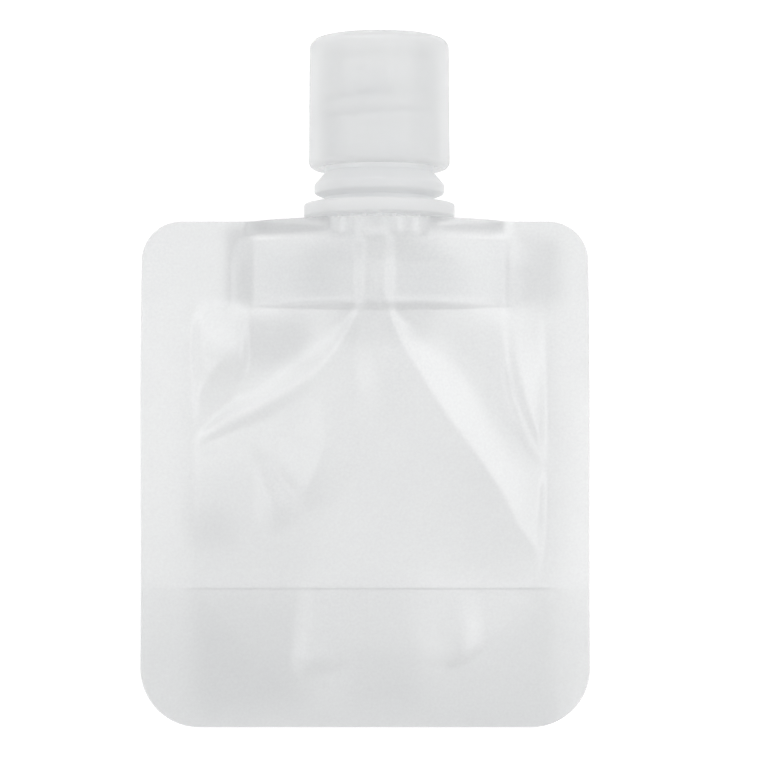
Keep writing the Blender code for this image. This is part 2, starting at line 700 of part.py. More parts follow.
def build_spout(collection, cutters, axis):
    """The moulded spout: weld base, collar, flange, bead, threaded neck and bore."""
    bead_low = FLANGE_TOP_Y + BEAD_BOTTOM_ABOVE_FLANGE
    nose_low = bead_low + BEAD_UNDERCUT_HEIGHT
    nose_high = nose_low + BEAD_NOSE_HEIGHT
    step_low = BEAD_TOP_Y + NECK_STEP_ABOVE_BEAD
    corners = [
        (0.0, RIM_Y, 0.0),
        (THREADED_NECK_RADIUS, RIM_Y, RIM_EDGE_RADIUS),
        (THREADED_NECK_RADIUS, step_low + NECK_STEP, 0.0),
        (NECK_RADIUS, step_low, 0.0),
        (NECK_RADIUS, BEAD_TOP_Y, 0.0),
        (BEAD_RADIUS, nose_high, BEAD_EDGE_RADIUS),
        (BEAD_RADIUS, nose_low, BEAD_EDGE_RADIUS),
        (NECK_RADIUS, bead_low, 0.0),
        (NECK_RADIUS, FLANGE_TOP_Y, 0.0),
        (FLANGE_RADIUS, FLANGE_TOP_Y, FLANGE_EDGE_RADIUS),
        (FLANGE_RADIUS, FLANGE_BOTTOM_Y, FLANGE_EDGE_RADIUS),
        (COLLAR_RADIUS, FLANGE_BOTTOM_Y, 0.0),
        (COLLAR_RADIUS, COLLAR_BOTTOM_Y, 0.0),
        (CORE_RADIUS, BOAT_TOP_Y - CORE_OVERLAP, 0.0),
        (CORE_RADIUS, BOAT_BOTTOM_Y + CORE_OVERLAP, 0.0),
        (0.0, BOAT_BOTTOM_Y + CORE_OVERLAP, 0.0),
    ]
    spout = turned("spout", corners, collection, axis)
    middle = (BOAT_BOTTOM_Y + BOAT_TOP_Y) / 2
    boat = plate("weld base", boat_outline(0.0), BOAT_HEIGHT, middle, cutters, axis)
    join_with(spout, as_cutter(boat), "UNION")
    pitch = (BOAT_HEIGHT - BOAT_RIB_WIDTH) / BOAT_RIB_COUNT
    first = BOAT_BOTTOM_Y + BOAT_RIB_WIDTH / 2 + pitch / 2
    ribs = plate("weld ribs", boat_outline(BOAT_RIB_PROUD), BOAT_RIB_WIDTH, first, cutters, axis)
    array = ribs.modifiers.new("rib row", "ARRAY")
    array.count = BOAT_RIB_COUNT
    array.use_relative_offset = False
    array.use_constant_offset = True
    array.constant_offset_displace = (0.0, 0.0, pitch)
    join_with(spout, as_cutter(ribs), "UNION")
    join_with(spout, collar_ribs(cutters, axis), "UNION")
    widths = (NECK_THREAD_ROOT_WIDTH, NECK_THREAD_CREST_WIDTH)
    ridge = thread_ridge("neck thread", THREADED_NECK_RADIUS, 1, NECK_THREAD_HEIGHT, widths,
                         NECK_THREAD_BOTTOM_Y, NECK_THREAD_TURNS, cutters, axis)
    join_with(spout, ridge, "UNION")
    wide = BORE_RADIUS + BORE_CHAMFER + CORE_OVERLAP
    bore_corners = [
        (0.0, RIM_Y + CORE_OVERLAP, 0.0),
        (wide, RIM_Y + CORE_OVERLAP, 0.0),
        (BORE_RADIUS, RIM_Y - BORE_CHAMFER, 0.0),
        (BORE_RADIUS, BOAT_BOTTOM_Y + BORE_CHAMFER, 0.0),
        (wide, BOAT_BOTTOM_Y - CORE_OVERLAP, 0.0),
        (0.0, BOAT_BOTTOM_Y - CORE_OVERLAP, 0.0),
    ]
    join_with(spout, as_cutter(turned("bore", bore_corners, cutters, axis)), "DIFFERENCE")
    spout.data.materials.append(plastic("milky spout", (0.87, 0.88, 0.89), 0.34, 0.8))


def build_cap(collection, cutters, axis):
    """The screw cap, a cup with an inside thread and a ring that holds the liner."""
    disc_low = CEILING_Y - LINER_CLEARANCE - LINER_DISC_THICKNESS
    ring_high = disc_low - LINER_CLEARANCE
    ring_low = ring_high - SNAP_RING_HEIGHT
    seat_radius = LINER_DISC_RADIUS + LINER_CLEARANCE
    corners = [
        (0.0, CAP_TOP_Y, 0.0),
        (CAP_TOP_RADIUS, CAP_TOP_Y, CAP_TOP_EDGE_RADIUS),
        (CAP_BOTTOM_RADIUS, CAP_BOTTOM_Y, CAP_BOTTOM_EDGE_RADIUS),
        (CAP_INNER_RADIUS + CAP_MOUTH_CHAMFER, CAP_BOTTOM_Y, 0.0),
        (CAP_INNER_RADIUS, CAP_BOTTOM_Y + CAP_MOUTH_CHAMFER, 0.0),
        (CAP_INNER_RADIUS, ring_low - SNAP_RING_SLOPE, 0.0),
        (SNAP_RING_RADIUS, ring_low, 0.0),
        (SNAP_RING_RADIUS, ring_high, 0.0),
        (seat_radius, ring_high, 0.0),
        (seat_radius, CEILING_Y, 0.0),
        (0.0, CEILING_Y, 0.0),
    ]
    cap = turned("cap", corners, collection, axis)
    widths = (CAP_THREAD_ROOT_WIDTH, CAP_THREAD_CREST_WIDTH)
    ridge = thread_ridge("cap thread", CAP_INNER_RADIUS, -1, CAP_THREAD_HEIGHT, widths,
                         CAP_THREAD_BOTTOM_Y, CAP_THREAD_TURNS, cutters, axis)
    ridge.rotation_euler.z = math.pi
    join_with(cap, ridge, "UNION")
    cap.data.materials.append(plastic("milky cap", (0.88, 0.89, 0.9), 0.3, 0.7))


def build_liner(collection, axis):
    """The sealing liner: a disc under the cap's top with a hollow plug in the bore."""
    high = CEILING_Y - LINER_CLEARANCE
    disc_low = high - LINER_DISC_THICKNESS
    shoulder = RIM_Y + SEAT_CLEARANCE
    plug_low = RIM_Y - PLUG_DEPTH
    hollow = PLUG_LOWER_RADIUS - PLUG_WALL
    corners = [
        (0.0, high, 0.0),
        (LINER_DISC_RADIUS, high, 0.0),
        (LINER_DISC_RADIUS, disc_low, 0.0),
        (PLUG_UPPER_RADIUS, disc_low, 0.0),
        (PLUG_UPPER_RADIUS, shoulder, 0.0),
        (PLUG_LOWER_RADIUS, shoulder, 0.0),
        (PLUG_LOWER_RADIUS, plug_low + PLUG_TAPER, 0.0),
        (PLUG_LOWER_RADIUS - PLUG_WALL / 2, plug_low, 0.0),
        (hollow, plug_low, 0.0),
        (hollow, disc_low, 0.0),
        (0.0, disc_low, 0.0),
    ]
    liner = turned("plug_liner", corners, collection, axis)
    liner.data.materials.append(plastic("white liner", (0.93, 0.93, 0.92), 0.45, 0.9))


def build():
    """Everything, in two collections: the parts and the pieces that cut or join them."""
    clear_scene()
    parts = new_collection("spout_pouch")
    cutters = new_collection("spout_pouch_cutters")
    axis = bpy.data.objects.new("spout_axis", None)
    axis.location = (SPOUT_X, 0.0, AXIS_Z)
    axis.rotation_euler.x = -math.pi / 2
    parts.objects.link(axis)
    build_films(parts)
    build_spout(parts, cutters, axis)
    build_cap(parts, cutters, axis)
    build_liner(parts, axis)


build()
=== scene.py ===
# %% [markdown]
# # A frosted spout pouch, lying empty on its back
#
# The object is a small stand-up pouch of frosted film. A moulded spout is welded between its front and
# back sheets, and a screw cap closes the spout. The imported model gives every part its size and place, and
# this file adds what a camera sees: the creased film, the milky plastic, the light and the floor.

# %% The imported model
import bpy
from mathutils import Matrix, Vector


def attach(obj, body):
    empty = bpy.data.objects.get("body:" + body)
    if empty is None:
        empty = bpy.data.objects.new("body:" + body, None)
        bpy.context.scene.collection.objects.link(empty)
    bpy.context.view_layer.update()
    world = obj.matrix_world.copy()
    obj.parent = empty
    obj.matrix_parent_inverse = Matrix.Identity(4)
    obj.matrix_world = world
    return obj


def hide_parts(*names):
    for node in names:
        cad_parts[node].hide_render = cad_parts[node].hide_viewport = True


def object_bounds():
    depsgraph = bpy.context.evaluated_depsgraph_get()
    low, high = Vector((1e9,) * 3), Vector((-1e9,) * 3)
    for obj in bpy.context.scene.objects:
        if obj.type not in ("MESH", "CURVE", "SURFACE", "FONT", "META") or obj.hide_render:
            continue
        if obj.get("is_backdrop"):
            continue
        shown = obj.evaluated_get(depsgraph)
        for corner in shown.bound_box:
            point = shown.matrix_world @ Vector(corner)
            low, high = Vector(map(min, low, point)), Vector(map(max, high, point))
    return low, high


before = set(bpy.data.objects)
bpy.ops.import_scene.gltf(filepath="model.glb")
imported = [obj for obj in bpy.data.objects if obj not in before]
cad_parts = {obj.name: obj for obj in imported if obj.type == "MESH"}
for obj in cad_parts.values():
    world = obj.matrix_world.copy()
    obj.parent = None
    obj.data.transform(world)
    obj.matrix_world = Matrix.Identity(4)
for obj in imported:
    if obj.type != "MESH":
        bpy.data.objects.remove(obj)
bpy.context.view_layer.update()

# %% [markdown]
# ## Sizes
#
# The sizes are the ones that the CAD source uses, because the films made here take the place of plainer CAD
# films. They are in millimetres.

# %% Sizes of the pouch in millimetres
import math

import bmesh
import bpy
import numpy as np

MM = 0.001
POUCH_TOP = 23.15
POUCH_BOTTOM = -49.45
TOP_WIDTH = 63.7
BOTTOM_WIDTH = 65.4
TOP_CORNER = 5.6
BOTTOM_CORNER = 8.7
FILM = 0.2
GAP = 0.25
FOLD_Y = -29.25
CHAMBER_LEFT = -25.05
CHAMBER_RIGHT = 26.35
CHAMBER_MIDDLE = (CHAMBER_LEFT + CHAMBER_RIGHT) / 2
CHAMBER_HALF = CHAMBER_RIGHT - CHAMBER_MIDDLE
SPOUT_X = 2.05
AXIS_Z = 10.8
BOAT_BOTTOM = 10.85
BOAT_TOP = 20.45
BOAT_HALF_LENGTH = 18.7
BOAT_HALF_THICKNESS = 5.7
BOAT_TIP = 0.5
print("pouch:", BOTTOM_WIDTH, "mm wide and", round(POUCH_TOP - POUCH_BOTTOM, 1), "mm tall")


def smooth_step(value):
    """Rises smoothly from 0 to 1 as the value goes from 0 to 1."""
    clipped = np.clip(value, 0, 1)
    return clipped * clipped * (3 - 2 * clipped)


# %% [markdown]
# ## The camera
#
# The photograph looks almost straight down, from about half a metre through a long lens. The camera leans by
# three degrees, from over the pouch's bottom, so the lower faces of the flange and the cap show a little.

# %% Camera
CAMERA_TARGET = (2.15, 0.465, 10.7)
CAMERA_DISTANCE = 450
CAMERA_TILT = math.radians(3)
CAMERA_LENS = 149.2
CAMERA_CLIP = (0.01, 10)


def new_object(name, data):
    """A new object in the scene."""
    made = bpy.data.objects.new(name, data)
    bpy.context.scene.collection.objects.link(made)
    return made


camera = new_object("camera", bpy.data.cameras.new("camera"))
camera.data.lens = CAMERA_LENS
camera.data.clip_start, camera.data.clip_end = CAMERA_CLIP
camera.rotation_euler = (CAMERA_TILT, 0, 0)
camera.location = (
    CAMERA_TARGET[0] * MM,
    (CAMERA_TARGET[1] - CAMERA_DISTANCE * math.sin(CAMERA_TILT)) * MM,
    (CAMERA_TARGET[2] + CAMERA_DISTANCE * math.cos(CAMERA_TILT)) * MM,
)
bpy.context.scene.camera = camera
print("camera at", [round(v, 3) for v in camera.location])

# %% [markdown]
# ## The outline and the middle surface
#
# The pouch has rounded corners and is a little wider at the bottom, where the film lies flat. Its middle
# surface starts at the spout's axis, held up by the flange, and falls to the table at the bottom seam.


# %% Outline and middle surface
def half_width(y):
    """Half of the pouch's width at a height."""
    share = (POUCH_TOP - y) / (POUCH_TOP - POUCH_BOTTOM)
    straight = (TOP_WIDTH + (BOTTOM_WIDTH - TOP_WIDTH) * share) / 2
    above = np.maximum(y - (POUCH_TOP - TOP_CORNER), 0)
    below = np.maximum(POUCH_BOTTOM + BOTTOM_CORNER - y, 0)
    cut = TOP_CORNER - np.sqrt(np.maximum(TOP_CORNER**2 - above**2, 0))
    cut = cut + BOTTOM_CORNER - np.sqrt(np.maximum(BOTTOM_CORNER**2 - below**2, 0))
    return straight - cut


FLAT_REACH = 3.6
FLAT_TOP = POUCH_BOTTOM + FLAT_REACH
LAYER_FADE = 12
STACK_HALF = GAP * 1.5 + FILM * 2


def middle_height(y):
    """Height of the middle surface over the table."""
    fall = smooth_step((BOAT_BOTTOM - y) / (BOAT_BOTTOM - FLAT_TOP))
    return AXIS_Z + (STACK_HALF - AXIS_Z) * fall


def layer_offset(y):
    """Distance from the middle surface to a film's inner face in the seals."""
    two_layers = GAP / 2
    four_layers = GAP * 1.5 + FILM
    return four_layers + (two_layers - four_layers) * smooth_step((y - FOLD_Y) / LAYER_FADE)


print("middle surface falls from", AXIS_Z, "to", round(float(middle_height(POUCH_BOTTOM)), 2), "mm")

# %% [markdown]
# ## Stretching the front film
#
# An empty pouch keeps the creases that its spout pulls into it. The thick weld base lifts the film, the flat
# seals at the sides hold it down, and the film is stretched between them like a tent with sharp ridges.
#
# A cloth simulation makes creases of its own choosing, but these have known places. So this file names the
# ridge and hollow lines, holds the film at them and lets the rest settle to the shape with the least area, as
# tight film does. It is worked out on a grid, coarse first and then finer.

# %% Lines that hold the film
# Each point of a line is x, y and the height above the seals, in millimetres.
RIDGES = {
    "left ridge": [(-0.8, 10.8, 5.9), (-1.5, 8.9, 5.75), (-3, 5.9, 5.6), (-5.2, 3, 5.3), (-7.6, 0.6, 4.75),
        (-10.6, -1.4, 4.2), (-13.7, -3, 3.5), (-16.7, -4.2, 2.8), (-19.6, -5.4, 2), (-22.3, -6.9, 1.15),
        (-24.8, -8.6, 0)],
    "right ridge": [(2.9, 10.8, 5.9), (3.7, 8.9, 6), (5, 5.9, 6), (7, 2.2, 5.9), (9.6, -2, 5.4),
        (12.5, -6.1, 4.8), (15.4, -9.8, 4.2), (18, -13.3, 3.6), (19.9, -16.4, 3), (21.5, -19.7, 2.3),
        (23.5, -22.2, 1.4), (26.2, -25, 0)],
    "far ridge": [(20.8, 10.4, 0.9), (20.9, 5.9, 1.7), (21.5, 2.3, 2.1), (22.6, -1.8, 2.1),
        (24, -5.8, 1.55), (25.3, -9.2, 0.8), (26.2, -11.4, 0.1)],
    "left edge ridge": [(-18.6, 4.6, 1.5), (-20.9, 2.6, 1.6), (-23.4, -0.7, 1), (-24.9, -3.8, 0.3),
        (-25.1, -5.8, 0)],
    "left valley": [(-1.5, 9.9, 5.3), (-3.6, 8.4, 4.5), (-6.5, 6.1, 3.2), (-10.2, 3.4, 1.9),
        (-14.2, 0.9, 1.15), (-18.3, -1.8, 0.7), (-21.6, -4.5, 0.35), (-24, -6.9, 0.1)],
    "right valley": [(4.4, 9.6, 5.3), (6.6, 8.1, 4.5), (9.7, 6.2, 3.4), (12.8, 3.9, 2.5), (15.6, 0.9, 1.9),
        (17.8, -2.5, 1.6), (19.7, -6.7, 1.45), (21.7, -9.5, 0.95), (24, -11.6, 0.4)],
    "end ridge": [(26.1, -12.2, 0.2), (25.5, -13.6, 0.8), (25.4, -17.6, 0.9), (25.5, -20.9, 0.55),
        (26.1, -24.2, 0)],
}
print(len(RIDGES), "lines hold the film")


# %% Smooth lines
def smooth_line(points, pieces=5):
    """The points with more between them on a smooth curve through them all."""
    places = np.array(points, float)
    before = np.vstack([2 * places[0] - places[1], places[:-2], places[-3:-2]])[: len(places) - 1]
    after = np.vstack([places[2:], 2 * places[-1] - places[-2]])
    shares = np.arange(pieces)[:, None] / pieces
    line = []
    for p0, p1, p2, p3 in zip(before, places[:-1], places[1:], after):
        line.append(0.5 * (2 * p1 + (p2 - p0) * shares + (2 * p0 - 5 * p1 + 4 * p2 - p3) * shares**2
                           + (3 * p1 - p0 - 3 * p2 + p3) * shares**3))
    return [tuple(place) for place in np.vstack([*line, places[-1:]])]


# %% Distance from a line
def from_line(points, x, y):
    """Distance from a line of points, positive on the left of its run, and its values there."""
    best = np.full(x.shape, np.inf)
    side = np.zeros(x.shape)
    values = np.zeros((len(points[0]) - 2, *x.shape))
    for start, end in zip(points, points[1:]):
        run_x, run_y = end[0] - start[0], end[1] - start[1]
        along = ((x - start[0]) * run_x + (y - start[1]) * run_y) / (run_x**2 + run_y**2)
        held = np.clip(along, 0, 1)
        distance = np.hypot(x - start[0] - held * run_x, y - start[1] - held * run_y)
        cross = run_x * (y - start[1]) - run_y * (x - start[0])
        nearer = distance < best
        best = np.where(nearer, distance, best)
        side = np.where(nearer, np.where(cross < 0, -1, 1), side)
        for index, (low, high) in enumerate(zip(start[2:], end[2:])):
            values[index] = np.where(nearer, low + (high - low) * held, values[index])
    return best * side, values


# %% The weld base under the film
STANDOFF = 0.45
LEFT_TIP_SLOPE = 0.3
RIGHT_TIP_SLOPE = 0.19


def lens_height(x):
    """Half thickness of the weld base at a distance from the spout's axis."""
    radius = (BOAT_HALF_LENGTH**2 + BOAT_HALF_THICKNESS**2) / (2 * BOAT_HALF_THICKNESS)
    return np.sqrt(np.maximum(radius**2 - x**2, 0)) - (radius - BOAT_HALF_THICKNESS)


def boat_cover(x):
    """How far from the middle the film lies over the weld base and past its tips."""
    past_tip = np.maximum(np.abs(x) - BOAT_HALF_LENGTH - STANDOFF, 0)
    tip = BOAT_TIP + STANDOFF - past_tip * np.where(x < 0, LEFT_TIP_SLOPE, RIGHT_TIP_SLOPE)
    return np.maximum(lens_height(x) + STANDOFF, np.maximum(tip, 0))


COVER_START = 16.5
COLLAR_BOTTOM = 21.35
COLLAR_COVER = 7.95
COLLAR_COVER_REACH = 21
COLLAR_COVER_POWER = 1.6


def spout_cover(x, y):
    """How far from the middle the film lies over the weld base and the collar."""
    share = smooth_step((y - COVER_START) / (COLLAR_BOTTOM - COVER_START))
    turn = np.clip(np.abs(x) / COLLAR_COVER_REACH, 0, 1) * math.pi / 2
    over_collar = COLLAR_COVER * np.maximum(np.cos(turn), 0) ** COLLAR_COVER_POWER
    return boat_cover(x) * (1 - share) + over_collar * share


print("film over the weld base:", round(float(boat_cover(np.array(0))), 2), "mm from the middle")

# %% Where the film is held
SEAL_TOP_LEFT = 11.2
SEAL_TOP_RIGHT = 20.4
ARC_DEPTH = 16.2
ARC_END_DEPTH = 1
GRID_LEFT = -33.2
GRID_BOTTOM = -50
GRID_WIDTH = 66.4
GRID_HEIGHT = 73.6
LINE_REACH = 0.75
LINE_SLOPE = 0.25


def arc_bottom(x):
    """Height of the curved bottom seal."""
    across = (x - CHAMBER_MIDDLE) / CHAMBER_HALF
    return FOLD_Y - np.maximum(ARC_DEPTH * (1 - across**2), ARC_END_DEPTH)


def held_places(pitch):
    """Grid places, which of them are held, and how far above the seals they are held."""
    columns = round(GRID_WIDTH / pitch) + 1
    rows = round(GRID_HEIGHT / pitch) + 1
    across = GRID_LEFT + np.arange(columns) * pitch
    x, y = np.meshgrid(across, GRID_BOTTOM + np.arange(rows) * pitch)
    over_boat = (y >= BOAT_BOTTOM) & (np.abs(x - SPOUT_X) < COLLAR_COVER_REACH)
    seal_top = np.where(x < SPOUT_X, SEAL_TOP_LEFT, SEAL_TOP_RIGHT)
    held = (x <= CHAMBER_LEFT) | (x >= CHAMBER_RIGHT) | (y <= arc_bottom(x)) | (y >= seal_top) | over_boat
    lift = np.where(over_boat, np.maximum(spout_cover(x - SPOUT_X, y) - layer_offset(y), 0), 0)
    for points in RIDGES.values():
        distance, (height,) = from_line(smooth_line(points), x, y)
        near = (np.abs(distance) < LINE_REACH * pitch) & ~held
        lift = np.where(near, height - LINE_SLOPE * np.abs(distance), lift)
        held = held | near
    return x, y, held, lift


# %% Let the film settle
LAST_CELL = 1.001
SETTLE_ROUNDS = ((1.6, 1500), (0.8, 1500), (0.4, 900), (0.2, 500))


def resample(field, pitch, x, y):
    """Values of a grid field at other places, by straight interpolation."""
    across = np.clip((x - GRID_LEFT) / pitch, 0, field.shape[1] - LAST_CELL)
    up = np.clip((y - GRID_BOTTOM) / pitch, 0, field.shape[0] - LAST_CELL)
    i, j = across.astype(int), up.astype(int)
    u, v = across - i, up - j
    low = field[j, i] * (1 - u) + field[j, i + 1] * u
    high = field[j + 1, i] * (1 - u) + field[j + 1, i + 1] * u
    return low * (1 - v) + high * v


def settle():
    """Height of the settled film above its sealed place, on the finest grid."""
    field = None
    for pitch, rounds in SETTLE_ROUNDS:
        x, y, held, lift = held_places(pitch)
        start = lift if field is None else resample(field, last, x, y)
        field = np.where(held, lift, start)
        for _ in range(rounds):
            around = (np.roll(field, 1, 0) + np.roll(field, -1, 0)
                      + np.roll(field, 1, 1) + np.roll(field, -1, 1))
            field = np.where(held, lift, around / 4)
        last = pitch
    return field, last


def softened(field, width):
    """The field with its sharpest corners rounded, as stiff film has them."""
    reach = math.ceil(width * 3)
    weights = np.exp(-0.5 * (np.arange(-reach, reach + 1) / width) ** 2)
    weights /= weights.sum()
    field = np.pad(field, reach, mode="edge")
    for axis in (0, 1):
        field = sum(w * np.roll(field, k, axis) for k, w in zip(range(-reach, reach + 1), weights))
    return field[reach:-reach, reach:-reach]


# A round hollow is part of a line: its first point, its end, its reach and its softness.
ROUND_HOLLOWS = {"left valley": (8, 24, 2.8, 6), "right valley": (8, 44, 4.8, 9)}
RISE_LENGTH = 1.4
settled, GRID_PITCH = settle()
grid_x, grid_y, _, _ = held_places(GRID_PITCH)
from_side = np.minimum(grid_x - CHAMBER_LEFT, CHAMBER_RIGHT - grid_x)
from_seal = np.minimum(from_side, grid_y - arc_bottom(grid_x))
settled = settled * np.where(grid_y < BOAT_BOTTOM, smooth_step(from_seal / RISE_LENGTH), 1)
for name, (first, last, reach, width) in ROUND_HOLLOWS.items():
    distance, _ = from_line(smooth_line(RIDGES[name])[first:last], grid_x, grid_y)
    near_hollow = smooth_step(1 - np.abs(distance) / reach)
    settled = settled + (softened(settled, width) - settled) * near_hollow
print("film settled, highest point", round(float(settled.max()), 2), "mm above its seals")

# %% [markdown]
# ## Small creases
#
# Besides the tent's ridges the film has small forms: hollows beside two ridges, a dent, strips below the
# fold, a line along the weld's edge, a pocket beside the spout and two streaks over the bore. Each is a line
# with a height and a width on either side, added to the settled film.

# %% Small creases
# Each is a power and a line of points: x, y, height, and the widths left and right of the line's run.
CREASES = {
    "ridge foot": (0, [(-4.7, 0, 0, 4, 3), (-8.7, -2.3, -0.25, 4.4, 2.6), (-13.7, -5, -0.48, 4, 1.8),
        (-19, -7, -0.45, 3.4, 1.2), (-22.7, -8.5, -0.28, 2.2, 0.9), (-24.8, -9.5, 0, 1, 0.8)]),
    "far hollow": (1.3, [(20.1, 9.2, 0, 1.1, 0.8), (20.4, 5.2, -0.16, 1.2, 0.8),
        (21.2, 0.8, -0.18, 1.2, 0.8), (22.3, -3.3, -0.18, 1.2, 0.8), (24.3, -7.7, -0.14, 1.1, 0.8),
        (26, -11.3, 0, 0.8, 0.6)]),
    "dent hollow": (0, [(-16.2, -7.6, 0, 2, 1.4), (-14.2, -11, -0.32, 2.4, 1.7),
        (-11.7, -14.7, -0.4, 2.4, 1.8), (-9.1, -17.8, 0, 2, 1.4)]),
    "dent edge": (1.1, [(-9.3, -17.6, 0, 2.5, 3), (-7.8, -14.3, 1, 5.6, 4.6), (-6.2, -10.3, 1.2, 6.4, 5),
        (-5.6, -6.6, 0.65, 4.4, 4.6), (-6.5, -1.1, 0, 2, 4)]),
    "strip ridge": (1.1, [(-15.3, -11.3, 0, 1.6, 0.8), (-14.3, -14.7, 0.45, 3, 1.6),
        (-13.1, -18, 0.8, 4, 2.8), (-12.5, -21.3, 0, 3, 2.4)]),
    "far line": (0, [(19.6, 8.9, 0, 0.6, 0.6), (19.8, 4.5, 0.3, 0.8, 0.8), (20.4, -0.7, 0.35, 0.9, 0.9),
        (21.8, -5.1, 0.35, 0.9, 0.9), (23.8, -9.1, 0.25, 0.8, 0.8), (25.6, -11.6, 0, 0.6, 0.6)]),
    "weld edge": (0, [(-16.5, 11.2, 0, 0.5, 0.5), (-14.9, 11.2, 0.26, 0.6, 0.5),
        (-2.8, 11.2, 0.26, 0.6, 0.5), (1.6, 11.2, 0.2, 0.6, 0.5), (6, 11.2, 0.26, 0.6, 0.5),
        (19, 11.2, 0.26, 0.6, 0.5), (20.6, 11.2, 0, 0.5, 0.5)]),
    "centre ridge": (0, [(1.3, 8.9, 0, 2.4, 2.4), (2.2, 2.3, 0.8, 4, 4), (3.2, -5.5, 0, 3.4, 3.4)]),
    "pocket": (0, [(-25.6, 4.3, 0, 6, 3), (-24.8, 4.3, 1.4, 8.5, 5), (-18.3, 4.3, 1.4, 8.5, 5),
        (-16.4, 4.3, 0, 6, 3)]),
    "low left ridge": (0, [(-6.7, -24.2, 0, 4, 2.4), (-6.7, -29.4, 0.35, 6, 3.4),
        (-6.9, -35.3, 0.95, 7, 3.9), (-7.4, -39, 1.05, 6.4, 3.7), (-7.8, -41.8, 0, 3, 2)]),
    "low left foot": (0, [(-10.9, -39, 0, 2, 4), (-9.4, -39.4, 0.3, 2.4, 7), (-7.6, -39.7, 0.4, 2.4, 7),
        (-5.6, -39.8, 0.25, 2, 6), (-4.1, -39.8, 0, 2, 4)]),
    "low right ridge": (0, [(9.7, -23.5, 0, 4, 5), (11.6, -29, 0.5, 5.4, 8), (12.8, -34.2, 1.3, 5.2, 8),
        (13.4, -38.6, 1.15, 4, 6), (13.8, -41.3, 0, 2, 2)]),
    "low right edge": (0, [(13.8, -40.6, 0.05, 3.5, 2.4), (15.6, -37.1, 0.15, 4, 3.4),
        (18.5, -33.8, 0.12, 4, 3.8), (22.2, -29.4, 0, 4, 3)]),
    "core left": (0, [(0.3, 21.5, 0, 2.2, 1.6), (0.3, 19.2, 0.8, 2, 2), (0.3, 12.6, 0.9, 2, 2),
        (0.1, 10.5, 0.3, 2.2, 1.6), (0, 8.9, 0, 2, 1.4)]),
    "core right": (0, [(2.5, 21.5, 0, 1.6, 2.2), (2.5, 19.2, 0.8, 2, 2), (2.5, 12.6, 0.9, 2, 2),
        (2.8, 10.5, 0.3, 1.6, 2.2), (2.9, 8.9, 0, 1.4, 2)]),
}
print(len(CREASES), "small creases")


def creases(x, y):
    """Height that the small creases add. A power of 0 gives a round crest."""
    total = np.zeros(x.shape)
    for power, points in CREASES.values():
        distance, (height, left, right) = from_line(smooth_line(points), x, y)
        fade = np.maximum(1 - np.abs(distance) / np.where(distance > 0, left, right), 0)
        total += height * (fade**power if power else smooth_step(fade))
    return total


# %% Marks of what lies under the film
RIB_PITCH = 1.5
FIRST_RIB = 1.05
RIB_MARK = 0.008
RIB_END_FADE = 0.6
FLUTE_PITCH = 2.3
FLUTE_MARK = 0.13
FLUTE_HALF_WIDTH = 8
FLUTE_END_FADE = 1.5
FLUTE_RISE = 0.9
EDGE_FLARE = 1.2
FLARE_START = 5
FLARE_NEAR = 9
FLARE_FAR = 19
FLARE_END_FADE = 4


def marks(x, y):
    """Height that the ribs, the collar and the loose top edge give the front film."""
    across = x - SPOUT_X
    from_middle = np.abs(across)
    on_boat = smooth_step((BOAT_HALF_LENGTH - from_middle) / RIB_END_FADE) * (y > BOAT_BOTTOM) * (y < BOAT_TOP)
    ribs = RIB_MARK * np.cos(2 * math.pi * (y - BOAT_BOTTOM - FIRST_RIB) / RIB_PITCH)
    on_collar = smooth_step((FLUTE_HALF_WIDTH - from_middle) / FLUTE_END_FADE)
    on_collar = on_collar * smooth_step((y - BOAT_TOP) / FLUTE_RISE)
    flutes = FLUTE_MARK * np.cos(2 * math.pi * across / FLUTE_PITCH)
    loose = smooth_step((from_middle - FLARE_START) / (FLARE_NEAR - FLARE_START))
    loose = loose * smooth_step((FLARE_FAR - from_middle) / FLARE_END_FADE)
    flare = EDGE_FLARE * loose * np.maximum(y - BOAT_TOP, 0) / (POUCH_TOP - BOAT_TOP)
    return ribs * on_boat + flutes * on_collar + flare


# %% The front film's shape
LEAST_LIFT = -0.18
EDGE_CALM = 2
FILM_SOFTNESS = 1.3
calm = smooth_step(from_seal / EDGE_CALM)
front_lift = settled + calm * creases(grid_x, grid_y) + marks(grid_x, grid_y)
front_lift = np.maximum(softened(front_lift, FILM_SOFTNESS), LEAST_LIFT)
print("front film stands up to", round(float(front_lift.max()), 2), "mm above its seals")


def film_piece(name, x, y, z):
    """A film from grids of places in millimetres."""
    rows, columns = x.shape
    places = np.stack([x, y, z], axis=-1).reshape(-1, 3) * MM
    first = (np.arange(rows - 1)[:, None] * columns + np.arange(columns - 1)[None, :]).ravel()
    faces = np.stack([first, first + 1, first + columns + 1, first + columns], axis=-1)
    mesh = bpy.data.meshes.new(name)
    mesh.from_pydata(places.tolist(), [], faces.tolist())
    mesh.shade_smooth()
    piece = new_object(name, mesh)
    solidify = piece.modifiers.new("film thickness", "SOLIDIFY")
    solidify.thickness = FILM * MM
    solidify.offset = 0
    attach(piece, "pouch")
    return piece


CORNER_ROWS = 15


def film_rows(low, high, pitch):
    """Row heights from low to high, close together in the rounded corners."""
    count = round((high - low) / pitch)
    rows = low + (high - low) * np.arange(count + 1) / count
    rise = 1 - np.sin(np.linspace(0, math.pi / 2, CORNER_ROWS)[1:-1])
    corner = np.concatenate([POUCH_BOTTOM + BOTTOM_CORNER * rise, POUCH_TOP - TOP_CORNER * rise])
    corner = corner[(corner > low) & (corner < high)]
    return np.unique(np.round(np.concatenate([rows, corner]), 4))


